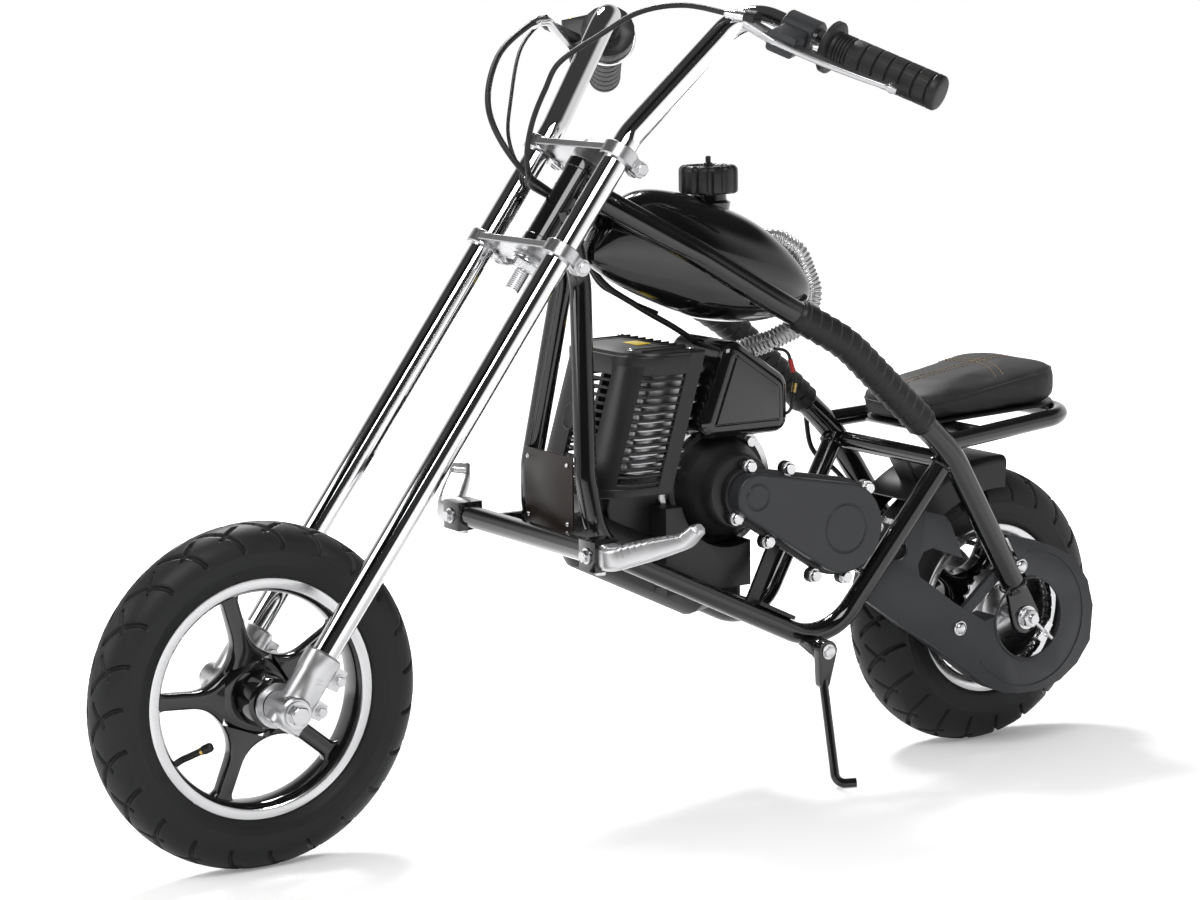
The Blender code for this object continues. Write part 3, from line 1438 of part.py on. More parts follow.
def leaning(name, outline, low, high):
    """An outline in X and Y made solid between two heights over the cowl's foot, leaning back with it."""
    outline = np.asarray(outline, float)
    rows = []
    for rise in (low, high):
        shift = place(-math.tan(COWL_TILT) * rise, 0, COWL_LOW_Z + rise)
        rows.append(np.insert(outline, 2, 0, axis=1) + shift)
    return solid(name, np.vstack(rows), skin(len(outline), 2))


def engine_cowl():
    """A hood round the cylinder's front, leaning back: slotted corners, a lid, and bosses on the fins."""
    made = leaning("engine_cowl", cowl_outline(0) + cowl_outline(COWL_WALL)[::-1], 0, COWL_HEIGHT)
    fuse(made, leaning("lid", cowl_outline(COWL_WALL / 2), COWL_HEIGHT - COWL_WALL, COWL_HEIGHT))
    pitch = COWL_HEIGHT * COWL_SLOT_SHARE / COWL_SLOTS
    spread = COWL_LEFT_Y - COWL_RIGHT_Y - COWL_POST_WIDTH
    post = (COWL_LEFT_Y + COWL_RIGHT_Y) / 2
    for slot in range(COWL_SLOTS):
        rise = pitch * (slot + COWL_SLOT_RISE_SHARE)
        front = place(COWL_FRONT_X - math.tan(COWL_TILT) * rise, post, COWL_LOW_Z + rise)
        for side in (-1, 1):
            middle = front + ACROSS * side * (COWL_POST_WIDTH + spread) / 2
            size = (2 * COWL_ROUND, spread - 2 * COWL_POST_EDGE, COWL_SLOT_HEIGHT)
            carve(made, block("slot", middle, size))
    fin = fin_middle(COWL_BOSS_FIN)
    half = CYLINDER_WIDTH / 2 + SEAT_GAP
    for side, wall in ((1, COWL_LEFT_Y - COWL_WALL / 2), (-1, COWL_RIGHT_Y + COWL_WALL / 2)):
        near = fin + ACROSS * side * half
        fuse(made, rod("boss", near, place(near[0], wall, near[2]), COWL_BOSS_RADIUS))
    keep(made, BLACK_PLASTIC, bike)


def air_box():
    """Rounded box behind the cylinder, over the crankcase, with a socket for the hose."""
    low = CRANK_Z + CASE_RADIUS + SEAT_GAP
    edge = COWL_WALL
    outline = hull_of_circles(
        [
            (BOX_FRONT_LOW_X - edge, low + edge, edge),
            (BOX_FRONT_TOP_X - edge, BOX_TOP_Z - edge, edge),
            (BOX_BACK_X + BOX_ROUND, BOX_REAR_TOP_Z - BOX_ROUND, BOX_ROUND),
            (BOX_BACK_X + edge, low + edge, edge),
        ]
    )
    made = slab("air_box", outline, BOX_RIGHT_Y, BOX_LEFT_Y)
    hose = fat(hose_path(), TANK_HOSE_RADIUS)
    cable = fat(lead_path(ENGINE_CABLE_PATH), THROTTLE_CABLE_RADIUS)
    keep(carve(made, clutch_cutter(BOX_LEFT_Y + OVERRUN), hose, cable), GLOSS_BLACK, bike)


def clutch_housing():
    low = CASE_LEFT_Y + SEAT_GAP
    profile = [
        (low, 0),
        (low, CLUTCH_FLANGE_RADIUS),
        (low + CLUTCH_FLANGE_DEPTH, CLUTCH_FLANGE_RADIUS),
        (low + 2 * CLUTCH_FLANGE_DEPTH, (CLUTCH_FLANGE_RADIUS + CLUTCH_NOSE_RADIUS) / 2),
        (CLUTCH_FACE_Y - CLUTCH_FLANGE_DEPTH, CLUTCH_NOSE_RADIUS),
        (CLUTCH_FACE_Y, CLUTCH_NOSE_RADIUS - CLUTCH_FLANGE_DEPTH / 2),
        (CLUTCH_FACE_Y, 0),
    ]
    keep(turned("clutch_housing", CRANK, ACROSS, profile, 2 * ROUND_STEPS), SATIN_BLACK, bike)


def recoil_starter():
    """Round pull-start cover on the engine's right, with a ring of radial vents."""
    high = CASE_RIGHT_Y - SEAT_GAP
    face = RECOIL_RADIUS * RECOIL_FACE_SHARE
    profile = [
        (high, 0),
        (high, RECOIL_RADIUS),
        (high - RECOIL_DEPTH / 2, RECOIL_RADIUS),
        (high - RECOIL_DEPTH, face),
        (high - RECOIL_DEPTH, 0),
    ]
    made = turned("recoil_starter", CRANK, ACROSS, profile, 2 * ROUND_STEPS)
    for slot in range(RECOIL_SLOTS):
        angle = slot * 2 * math.pi / RECOIL_SLOTS
        out = place(math.cos(angle), 0, math.sin(angle))
        centre = CRANK + out * face + ACROSS * (high - RECOIL_DEPTH)
        size = (RECOIL_SLOT_LENGTH, RECOIL_DEPTH, RECOIL_SLOT_WIDTH)
        carve(made, block("vent", centre, size, (out, ACROSS, np.cross(out, ACROSS))))
    keep(made, BLACK_PLASTIC, bike)


def gear_outline(grow):
    circles = [
        (GEAR_SMALL_X, GEAR_SMALL_Z, GEAR_SMALL_RADIUS + grow),
        (GEAR_BIG_X, GEAR_BIG_Z, GEAR_BIG_RADIUS + grow),
    ]
    return hull_of_circles(circles)


def gear_plate():
    """Back plate of the reduction gear, with an ear for each bolt."""
    near = CLUTCH_FACE_Y + SEAT_GAP
    far = near + GEAR_PLATE_DEPTH
    made = slab("gear_plate", gear_outline(GEAR_PLATE_BORDER), near, far)
    for x, z in GEAR_EARS:
        fuse(made, rod("ear", place(x, near, z), place(x, far, z), GEAR_EAR_RADIUS))
    keep(made, SATIN_BLACK, bike)


def gearbox():
    """Cover of the reduction gear: one wall round the small and the big gear."""
    near = CLUTCH_FACE_Y + GEAR_PLATE_DEPTH + 2 * SEAT_GAP
    keep(slab("gearbox", gear_outline(0), near, GEAR_FACE_Y), GREY_PLASTIC, bike)


def muffler():
    """Rounded drum along the rails with a square box on its back half, seated under the crankcase."""
    ends = (MUFFLER_FRONT_X, MUFFLER_BACK_X)
    front, back = (place(x, MUFFLER_Y, rail_height(x) + MUFFLER_LIFT) for x in ends)
    length = np.linalg.norm(back - front)
    dome = length * MUFFLER_DOME_SHARE
    nose = MUFFLER_RADIUS * MUFFLER_NOSE_SHARE
    barrel = [(dome, MUFFLER_RADIUS), (length - dome, MUFFLER_RADIUS)]
    profile = [(0, 0), (0, nose), *barrel, (length, nose), (length, 0)]
    made = turned("muffler", front, back - front, profile)
    high = CASE_FRONT_Z
    centre = place(
        (MUFFLER_BOX_FRONT_X + MUFFLER_BOX_BACK_X) / 2,
        (MUFFLER_BOX_LEFT_Y + MUFFLER_BOX_RIGHT_Y) / 2,
        (MUFFLER_BOX_LOW_Z + high) / 2,
    )
    size = (
        MUFFLER_BOX_FRONT_X - MUFFLER_BOX_BACK_X,
        MUFFLER_BOX_LEFT_Y - MUFFLER_BOX_RIGHT_Y,
        high - MUFFLER_BOX_LOW_Z,
    )
    fuse(made, block("box", centre, size))
    keep(carve(made, case_cutter(), clutch_cutter(MUFFLER_BOX_LEFT_Y + OVERRUN)), SATIN_BLACK, bike)


def engine_mount():
    """Plate over both rails, a web up to the crankcase, and a bar on the left up to the gear plate."""
    along = unit(place(RAIL_FRONT_X - RAIL_REAR_X, 0, RAIL_FRONT_Z - RAIL_REAR_Z))
    up = np.cross(along, ACROSS)
    foot = place(MOUNT_X, 0, rail_height(MOUNT_X)) + up * (DOWN_RADIUS + MOUNT_THICKNESS / 2)
    size = (MOUNT_BASE_LENGTH, 2 * (RAIL_HALF_SPREAD + MOUNT_EDGE), MOUNT_THICKNESS)
    made = block("engine_mount", foot, size, (along, ACROSS, up))
    middle = place(MOUNT_X, (CASE_LEFT_Y + CASE_RIGHT_Y) / 2, (foot[2] + CRANK_Z) / 2)
    fuse(made, block("web", middle, (MOUNT_THICKNESS, CASE_LEFT_Y - CASE_RIGHT_Y, CRANK_Z - foot[2])))
    bolt = rail_height(MOUNT_BOLT_X) + DOWN_RADIUS
    ends = [(MOUNT_BOLT_X, bolt, MOUNT_BOLT_RADIUS), (MOUNT_TOP_X, MOUNT_TOP_Z, MOUNT_BOLT_RADIUS)]
    gusset = hull_of_circles(ends, SMALL_STEPS)
    fuse(made, slab("gusset", gusset, CLUTCH_FACE_Y - MOUNT_THICKNESS, CLUTCH_FACE_Y))
    for side in (-1, 1):
        carve(made, fat(cradle_path(side), DOWN_RADIUS))
    keep(carve(made, case_cutter()), SATIN_BLACK, bike)


# Drive
def rear_sprocket():
    """Toothed ring on a carrier round the hub."""
    pitch = 2 * math.pi / SPROCKET_TEETH
    outline = []
    for tooth in range(SPROCKET_TEETH):
        for share, radius in SPROCKET_TOOTH_SHARES:
            angle = (tooth + share) * pitch
            reach = SPROCKET_RADIUS * radius
            outline.append((reach * math.cos(angle), rear_axle[2] + reach * math.sin(angle)))
    half = SPROCKET_THICKNESS / 2
    made = slab("rear_sprocket", outline, CHAIN_Y - half, CHAIN_Y + half)
    near = rear_axle + ACROSS * (REAR_HUB_HALF_WIDTH + SEAT_GAP)
    far = rear_axle + ACROSS * (CHAIN_Y + 2 * half)
    fuse(made, rod("carrier", near, far, SPROCKET_CARRIER, ROUND_STEPS))
    reach = ACROSS * OVERRUN
    eye = rear_axle + ACROSS * CHAIN_Y
    carve(made, rod("bore", eye - reach, eye + reach, AXLE_RADIUS + SEAT_GAP))
    keep(made, ZINC, rear_wheel)


def chain():
    """One fixed loop that clears the sprocket's teeth."""
    big = SPROCKET_RADIUS + 2 * SEAT_GAP
    small = DRIVE_SPROCKET_RADIUS
    circles = [(rear_axle[0], rear_axle[2], big), (GEAR_BIG_X, GEAR_BIG_Z, small)]
    outer = hull_of_circles([(x, z, r + CHAIN_HEIGHT) for x, z, r in circles], WHEEL_STEPS)
    inner = hull_of_circles(circles, WHEEL_STEPS)
    made = slab("chain", outer, CHAIN_Y - CHAIN_WIDTH / 2, CHAIN_Y + CHAIN_WIDTH / 2)
    keep(carve(made, slab("inner", inner, CHAIN_Y - CHAIN_WIDTH, CHAIN_Y + CHAIN_WIDTH)), ZINC, bike)


def drawn_in(outline, inset):
    """An outline with each of its sides moved inwards by the same amount."""
    outline = np.asarray(outline, float)
    ahead = np.roll(outline, -1, axis=0) - outline
    ahead /= np.linalg.norm(ahead, axis=1)[:, None]
    before = np.roll(ahead, 1, axis=0)
    area = np.cross(outline, np.roll(outline, -1, axis=0)).sum()
    inward = np.stack([-ahead[:, 1] - before[:, 1], ahead[:, 0] + before[:, 0]], 1) * np.sign(area)
    return outline + inset * inward / (1 + (ahead * before).sum(1))[:, None]


def cover_shape(name, low, inset):
    """The outline drawn in by an inset: flat round the axle, then slanting in towards the engine."""
    far = COVER_OUTER_Y - inset
    made = slab(name, drawn_in(COVER_OUTLINE, inset), low, far)
    front, high = np.max(COVER_OUTLINE, axis=0)
    drop = math.tan(COVER_SLANT) * (front - COVER_FOLD_X)
    over = far + OVERRUN
    wedge = np.array([(COVER_FOLD_X, far), (front, far - drop), (front, over), (COVER_FOLD_X, over)])
    return carve(made, layered("wedge", [(wedge, 0), (wedge, high + OVERRUN)]))


def chain_cover():
    """Moulded guard outside the chain: the axle's opening, a gap for the main tube, and a tab onto it."""
    made = cover_shape("chain_cover", COVER_INNER_Y, 0)
    carve(made, cover_shape("hollow", COVER_INNER_Y - OVERRUN, COVER_WALL))
    reach = ACROSS * COVER_OUTER_Y
    carve(made, rod("hole", rear_axle, rear_axle + 2 * reach, COVER_HOLE_RADIUS, 2 * ROUND_STEPS))
    bite = place(COVER_BITE_X, 0, COVER_BITE_Z)
    carve(made, rod("bite", bite, bite + 2 * reach, COVER_BITE_RADIUS, ROUND_STEPS))
    carve(made, slab("case", gear_outline(GEAR_PLATE_BORDER + COVER_CLEARANCE), 0, 2 * COVER_OUTER_Y))
    carve(made, tube("notch", main_path(1), MAIN_RADIUS + COVER_CLEARANCE))
    carve(made, tube("notch", cradle_path(1), DOWN_RADIUS + COVER_CLEARANCE))
    start, end = (place(x, COVER_TAB_Y, z) for x, z in (COVER_TAB_START, COVER_TAB_END))
    along = unit(end - start)
    size = (np.linalg.norm(end - start), COVER_TAB_THICKNESS, COVER_TAB_WIDTH)
    fuse(made, block("tab", (start + end) / 2, size, (along, ACROSS, np.cross(along, ACROSS))))
    keep(carve(made, fat(main_path(1), MAIN_RADIUS)), GREY_PLASTIC, bike)


def brake():
    disc = turned(
        "brake_disc",
        rear_axle,
        ACROSS,
        [
            (DISC_Y - DISC_THICKNESS / 2, 0),
            (DISC_Y - DISC_THICKNESS / 2, DISC_RADIUS),
            (DISC_Y + DISC_THICKNESS / 2, DISC_RADIUS),
            (DISC_Y + DISC_THICKNESS / 2, SPROCKET_CARRIER),
            (-REAR_HUB_HALF_WIDTH - SEAT_GAP, SPROCKET_CARRIER),
            (-REAR_HUB_HALF_WIDTH - SEAT_GAP, 0),
        ],
        2 * ROUND_STEPS,
    )
    reach = ACROSS * OVERRUN
    eye = rear_axle + ACROSS * DISC_Y
    carve(disc, rod("bore", eye - reach, eye + reach, AXLE_RADIUS + SEAT_GAP))
    keep(disc, ZINC, rear_wheel)
    out = place(math.cos(CALIPER_ANGLE), 0, math.sin(CALIPER_ANGLE))
    aside = np.cross(out, ACROSS)
    centre = caliper_middle()
    size = (CALIPER_HEIGHT, CALIPER_WIDTH, CALIPER_LENGTH)
    made = block("brake_caliper", centre, size, (out, ACROSS, aside))
    half = ACROSS * CALIPER_SLOT / 2
    carve(made, rod("slot", eye - half, eye + half, DISC_RADIUS + RUNNING_GAP, 2 * ROUND_STEPS))
    outside = centre - ACROSS * CALIPER_WIDTH / 2
    tube_side = place(x_at_height(main_path(-1), centre[2]), -DROPOUT_Y, centre[2])
    wide, deep = np.abs(tube_side - outside)[:2]
    size = (wide + CALIPER_ARM, deep + CALIPER_SLOT, CALIPER_ARM)
    fuse(made, block("arm", (outside + tube_side) / 2, size))
    cable = fat(rear_brake_path(), BRAKE_CABLE_RADIUS)
    keep(carve(made, cable, fat(main_path(-1), MAIN_RADIUS)), SATIN_BLACK, bike)


def stand():
    """Bracket on the left rail, and the bent leg with its tapered root that swings back on a pin."""
    pivot = place(STAND_PIVOT_X, STAND_PIVOT_Y, STAND_PIVOT_Z)
    foot = floor_place(STAND_FOOT_X, STAND_FOOT_Y, STAND_LEG_RADIUS)
    toe = foot + place(-STAND_TOE, STAND_TOE / 2, 0)
    toe = floor_place(toe[0], toe[1], STAND_LEG_RADIUS)
    inner = STAND_PIVOT_Y - STAND_EAR_THICKNESS / 2
    outer = inner + STAND_EAR_THICKNESS + STAND_LEG_RADIUS
    start = place(STAND_COLLAR_X, inner + STAND_LEG_RADIUS, STAND_COLLAR_Z + STAND_COLLAR_RADIUS)
    leg = tube("side_stand", bend([start, foot, toe], 2 * STAND_LEG_RADIUS), STAND_LEG_RADIUS)
    circles = [
        (STAND_PIVOT_X, STAND_PIVOT_Z, STAND_EAR_RADIUS),
        (STAND_COLLAR_X, STAND_COLLAR_Z, STAND_COLLAR_RADIUS),
    ]
    fuse(leg, slab("root", hull_of_circles(circles, ROUND_STEPS), inner, outer))
    reach = ACROSS * OVERRUN
    carve(leg, rod("bore", pivot - reach, pivot + reach, STAND_PIN_RADIUS + STAND_PIN_GAP, ROUND_STEPS))
    keep(leg, GLOSS_BLACK, side_stand)
    plate_far = pivot + ACROSS * (inner - SEAT_GAP - STAND_PIVOT_Y)
    plate_near = plate_far - ACROSS * STAND_EAR_THICKNESS
    plate = rod("stand_bracket", plate_near, plate_far, STAND_EAR_RADIUS, ROUND_STEPS)
    rail = place(STAND_PIVOT_X, RAIL_HALF_SPREAD, rail_height(STAND_PIVOT_X))
    square = np.array([(-1, -1), (1, -1), (1, 1), (-1, 1)]) * (1, STAND_ARM_SHARE)
    fuse(plate, sweep("arm", [rail, (2 * plate_near + plate_far) / 3], square * STAND_EAR_RADIUS))
    spare = (4 * STAND_EAR_RADIUS, OVERRUN, 4 * STAND_EAR_RADIUS)
    carve(plate, block("spare", plate_far + ACROSS * OVERRUN / 2, spare))
    pin_end = pivot + ACROSS * (outer + STAND_PIN_GAP - STAND_PIVOT_Y)
    fuse(plate, rod("pin", plate_near, pin_end, STAND_PIN_RADIUS, ROUND_STEPS))
    keep(carve(plate, fat(cradle_path(1), DOWN_RADIUS)), GLOSS_BLACK, bike)


def caliper_middle():
    out = place(math.cos(CALIPER_ANGLE), 0, math.sin(CALIPER_ANGLE))
    return rear_axle + out * (DISC_RADIUS + CALIPER_HEIGHT / 4) + ACROSS * DISC_Y


def floor_place(x, y, lift):
    """The place in the upright bike that stands the given height over the floor once it leans."""
    return place(x, y * math.cos(LEAN), y * math.sin(LEAN) + lift / math.cos(LEAN))


fuel_tank()
tank_hose()
tank_cap()
seat()
rear_fender()
crankcase()
cylinder()
engine_cowl()
air_box()
clutch_housing()
recoil_starter()
gear_plate()
gearbox()
muffler()
engine_mount()
handlebar_leads()
frame_leads()
rear_sprocket()
chain()
chain_cover()
brake()
stand()


def stand_on_floor():
    """Leans the bike and moves the middle of its box, at floor height, to the origin."""
    bike.rotation_euler = (-LEAN, 0, 0)
    bpy.context.view_layer.update()
    graph = bpy.context.evaluated_depsgraph_get()
    corners = []
    for made in scene.objects:
        if made.type == "MESH":
            world = np.array(made.matrix_world)
            points = np.array([v.co for v in made.evaluated_get(graph).data.vertices])
            corners.append(points @ world[:3, :3].T + world[:3, 3])
    points = np.vstack(corners)
    low = points.min(axis=0)
    high = points.max(axis=0)
    bike.location = (-(low[0] + high[0]) / 2, -(low[1] + high[1]) / 2, -low[2])


stand_on_floor()
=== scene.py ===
"""Looks of the mini chopper: finishes for its solids and the pieces that dress them.

Places are worked out upright, as the bike is built: +X to its front, +Y to its left, X = 0 at the
rear axle and Z = 0 at the floor. The function leaned puts them into the frame's own space.
"""
import json
import math

import bmesh
import bpy
import numpy as np
from mathutils import Matrix, Vector
from mathutils.bvhtree import BVHTree

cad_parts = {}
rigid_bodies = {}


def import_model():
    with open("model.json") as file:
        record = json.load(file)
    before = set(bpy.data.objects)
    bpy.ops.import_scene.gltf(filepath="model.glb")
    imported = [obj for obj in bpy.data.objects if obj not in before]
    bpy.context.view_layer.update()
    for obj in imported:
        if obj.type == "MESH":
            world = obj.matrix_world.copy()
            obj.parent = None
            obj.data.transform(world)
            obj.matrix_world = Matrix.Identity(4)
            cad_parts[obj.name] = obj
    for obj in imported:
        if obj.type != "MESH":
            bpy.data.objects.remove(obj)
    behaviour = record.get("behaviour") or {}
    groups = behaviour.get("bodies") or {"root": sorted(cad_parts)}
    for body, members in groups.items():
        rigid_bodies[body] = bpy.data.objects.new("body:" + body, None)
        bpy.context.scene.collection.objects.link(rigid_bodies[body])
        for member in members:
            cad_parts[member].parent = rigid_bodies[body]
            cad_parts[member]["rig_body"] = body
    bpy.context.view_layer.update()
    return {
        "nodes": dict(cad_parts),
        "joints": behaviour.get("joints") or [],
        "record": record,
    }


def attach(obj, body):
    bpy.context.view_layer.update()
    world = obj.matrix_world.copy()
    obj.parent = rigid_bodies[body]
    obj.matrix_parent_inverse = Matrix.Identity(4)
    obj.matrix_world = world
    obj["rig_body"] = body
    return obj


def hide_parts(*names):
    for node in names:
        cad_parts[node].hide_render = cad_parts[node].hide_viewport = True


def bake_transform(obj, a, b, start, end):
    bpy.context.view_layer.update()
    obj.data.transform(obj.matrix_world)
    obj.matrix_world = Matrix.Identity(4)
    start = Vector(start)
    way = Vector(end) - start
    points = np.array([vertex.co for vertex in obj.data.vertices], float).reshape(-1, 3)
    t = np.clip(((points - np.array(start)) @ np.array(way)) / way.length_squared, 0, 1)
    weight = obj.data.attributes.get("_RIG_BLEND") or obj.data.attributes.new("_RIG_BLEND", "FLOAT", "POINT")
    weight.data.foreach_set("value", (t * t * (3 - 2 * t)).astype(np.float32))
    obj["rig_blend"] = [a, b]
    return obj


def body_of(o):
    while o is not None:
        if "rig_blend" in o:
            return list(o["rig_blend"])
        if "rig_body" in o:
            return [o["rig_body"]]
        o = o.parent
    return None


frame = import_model()
scene = bpy.context.scene

# Stance
LEAN = math.radians(5.0)
WHEELBASE = 0.8234
RAKE = math.radians(36.38)
REAR_AXLE_Z = 0.14485
FRONT_AXLE_Z = 0.16011

LEAN_TURN = np.array(Matrix.Rotation(-LEAN, 3, "X"))
REAR_SPIN = next(j for j in frame["joints"] if j["name"] == "rear_wheel_spin")
SHIFT = np.array(REAR_SPIN["pos_m"]) - LEAN_TURN @ np.array([0, 0, REAR_AXLE_Z])

FORK_UP = np.array([-math.sin(RAKE), 0, math.cos(RAKE)])
FORK_AHEAD = np.array([math.cos(RAKE), 0, math.sin(RAKE)])
ACROSS = np.array([0, 1.0, 0])
UP = np.array([0, 0, 1.0])
FRONT_AXLE = np.array([WHEELBASE, 0, FRONT_AXLE_Z])
REAR_AXLE = np.array([0, 0, REAR_AXLE_Z])
SIDES = (("left", 1), ("right", -1))


def leaned(points):
    """Upright places carried into the leaning bike."""
    return np.asarray(points, float) @ LEAN_TURN.T + SHIFT


# Shader groups
def shader_group(name, inputs, outputs):
    """A new shader node group with its sockets, its nodes and the input and output nodes."""
    made = bpy.data.node_groups.new(name, "ShaderNodeTree")
    for label, kind, value in inputs:
        socket = made.interface.new_socket(label, in_out="INPUT", socket_type=kind)
        if value is not None:
            socket.default_value = value
    for label, kind in outputs:
        made.interface.new_socket(label, in_out="OUTPUT", socket_type=kind)
    return made, made.nodes.new("NodeGroupInput"), made.nodes.new("NodeGroupOutput")


def feed(tree, value, socket):
    """Links a node's output into a socket, or sets the socket to a plain value."""
    if isinstance(value, bpy.types.NodeSocket):
        tree.links.new(value, socket)
    else:
        socket.default_value = value


def node(tree, kind, values=None, **settings):
    """A shader node with its settings and the values of its sockets, links among them."""
    made = tree.nodes.new("ShaderNode" + kind)
    for key, value in settings.items():
        setattr(made, key, value)
    for key, value in (values or {}).items():
        feed(tree, value, made.inputs[key])
    return made


def maths(tree, operation, first, second, clamp=False):
    """The result of one arithmetic node."""
    return node(tree, "Math", {0: first, 1: second}, operation=operation, use_clamp=clamp).outputs[0]


def noise(tree, place, scale, detail):
    """The value of one noise texture."""
    return node(tree, "TexNoise", {"Vector": place, "Scale": scale, "Detail": detail}).outputs["Fac"]


CLOUD_SCALE = 14.0
WEAR_STRETCH = (0.25, 1.0, 1.6)
PATCH_SCALE = 9.0
WEAR_SHARPNESS = 14.0
DUST_SCALE = 35.0
DUST_COLOUR = (0.16, 0.15, 0.135, 1)


def grain_group():
    """Small noise as a height and larger noise as a slow variation."""
    tree, source, sink = shader_group(
        "fine_grain",
        [("Place", "NodeSocketVector", None), ("Scale", "NodeSocketFloat", 400.0)],
        [("Height", "NodeSocketFloat"), ("Variation", "NodeSocketFloat")],
    )
    place = source.outputs["Place"]
    tree.links.new(noise(tree, place, source.outputs["Scale"], 3.0), sink.inputs["Height"])
    tree.links.new(noise(tree, place, CLOUD_SCALE, 2.0), sink.inputs["Variation"])
    return tree


def wear_group():
    """Specks and short scratches where two noises, one of them stretched, rise above a level."""
    tree, source, sink = shader_group(
        "wear_marks",
        [("Place", "NodeSocketVector", None), ("Scale", "NodeSocketFloat", 60.0),
         ("Level", "NodeSocketFloat", 0.68)],
        [("Mask", "NodeSocketFloat")],
    )
    place = source.outputs["Place"]
    stretched = node(tree, "Mapping", {"Vector": place, "Scale": WEAR_STRETCH}).outputs[0]
    marks = noise(tree, stretched, source.outputs["Scale"], 6.0)
    both = maths(tree, "ADD", marks, noise(tree, place, PATCH_SCALE, 2.0))
    over = maths(tree, "SUBTRACT", both, maths(tree, "ADD", source.outputs["Level"], 0.5))
    tree.links.new(maths(tree, "MULTIPLY", over, WEAR_SHARPNESS, True), sink.inputs["Mask"])
    return tree


def dust_group():
    """Dust that settles where the surface faces up, broken up by noise."""
    tree, source, sink = shader_group(
        "settled_dust",
        [("Place", "NodeSocketVector", None), ("Amount", "NodeSocketFloat", 0.2)],
        [("Mask", "NodeSocketFloat")],
    )
    facing = node(tree, "SeparateXYZ", {0: node(tree, "NewGeometry").outputs["Normal"]})
    up = maths(tree, "ADD", facing.outputs["Z"], 0.25, True)
    broken = maths(tree, "MULTIPLY", up, noise(tree, source.outputs["Place"], DUST_SCALE, 5.0))
    tree.links.new(maths(tree, "MULTIPLY", broken, source.outputs["Amount"], True), sink.inputs["Mask"])
    return tree


GRAIN = grain_group()
WEAR = wear_group()
DUST = dust_group()


def mixed(tree, mask, low, high):
    """A colour between two colours or links, by a mask."""
    return node(tree, "Mix", {"Factor": mask, 6: low, 7: high}, data_type="RGBA").outputs[2]


def finish(name, colour, roughness, metallic=0.0, coat=0.0, grain=400.0, depth=0.00005, spread=0.1,
           worn=None, worn_level=0.75, dust=0.1, tint=0.12, gloss=0.5):
    """A material: slow variation in colour and roughness, worn marks, settled dust and a fine grain."""
    made = bpy.data.materials.new(name)
    made.use_nodes = True
    tree = made.node_tree
    shader = tree.nodes["Principled BSDF"]
    place = node(tree, "TexCoord").outputs["Object"]
    grained = node(tree, "Group", {"Place": place, "Scale": grain}, node_tree=GRAIN)
    deep = tuple(c * (1 - tint) for c in colour) + (1,)
    light = tuple(min(1, c * (1 + tint)) for c in colour) + (1,)
    base = mixed(tree, grained.outputs["Variation"], deep, light)
    if worn:
        marks = node(tree, "Group", {"Place": place, "Level": worn_level}, node_tree=WEAR)
        base = mixed(tree, marks.outputs["Mask"], base, (*worn, 1))
    if dust:
        settled = node(tree, "Group", {"Place": place, "Amount": dust}, node_tree=DUST)
        base = mixed(tree, settled.outputs["Mask"], base, DUST_COLOUR)
    rough = node(tree, "MapRange", {"Value": grained.outputs["Variation"], "From Min": 0.3, "From Max": 0.7,
                                    "To Min": max(0.02, roughness - spread / 2),
                                    "To Max": roughness + spread / 2})
    bump = node(tree, "Bump", {"Height": grained.outputs["Height"], "Strength": 1.0, "Distance": depth})
    for key, value in {"Base Color": base, "Roughness": rough.outputs[0], "Metallic": metallic,
                       "Coat Weight": coat, "Coat Roughness": 0.04, "Specular IOR Level": gloss,
                       "Normal": bump.outputs[0]}.items():
        feed(tree, value, shader.inputs[key])
    return made


FINISHES = {
    "gloss_black_paint": finish("gloss_black", (0.0035, 0.0035, 0.004), 0.16, coat=0.9, depth=0.000003,
                                dust=0.03, worn=(0.05, 0.05, 0.05), worn_level=0.86, gloss=0.25),
    "satin_black_metal": finish("satin_black", (0.010, 0.010, 0.011), 0.40, depth=0.00003, dust=0.05,
                                gloss=0.4),
    "chrome": finish("chrome_plate", (0.80, 0.80, 0.81), 0.06, metallic=1.0, depth=0.000002, spread=0.04,
                     dust=0.01, tint=0.03),
    "cast_alloy": finish("cast_alloy", (0.62, 0.62, 0.63), 0.34, metallic=1.0, grain=900.0, depth=0.00003,
                         dust=0.05, worn=(0.30, 0.30, 0.29), worn_level=0.76),
    "zinc_plated_steel": finish("zinc_plate", (0.66, 0.66, 0.67), 0.26, metallic=1.0, depth=0.00001,
                                dust=0.04, worn=(0.34, 0.31, 0.26), worn_level=0.80),
    "black_plastic": finish("black_plastic", (0.010, 0.010, 0.0105), 0.38, grain=700.0, depth=0.00003,
                            dust=0.05, gloss=0.4),
    "dark_grey_plastic": finish("dark_grey_plastic", (0.022, 0.023, 0.026), 0.40, grain=900.0, depth=0.00004,
                                dust=0.06, worn=(0.08, 0.08, 0.08), worn_level=0.84, gloss=0.4),
    "rubber": finish("black_rubber", (0.007, 0.007, 0.007), 0.50, grain=500.0, depth=0.00006, dust=0.06,
                     gloss=0.4),
    "tyre_rubber": finish("tyre_rubber", (0.0085, 0.0088, 0.0092), 0.50, grain=350.0, depth=0.00008,
                          dust=0.05, gloss=0.3),
    "black_vinyl": finish("black_vinyl", (0.017, 0.017, 0.018), 0.56, grain=900.0, depth=0.00014, dust=0.05,
                          gloss=0.35),
    "wrapped_tape": finish("wrapped_tape", (0.008, 0.008, 0.0085), 0.40, grain=600.0, depth=0.00005,
                           dust=0.04, gloss=0.35),
    "dark_plate": finish("dark_plate", (0.012, 0.007, 0.005), 0.40, depth=0.00002, dust=0.04, gloss=0.35),
}
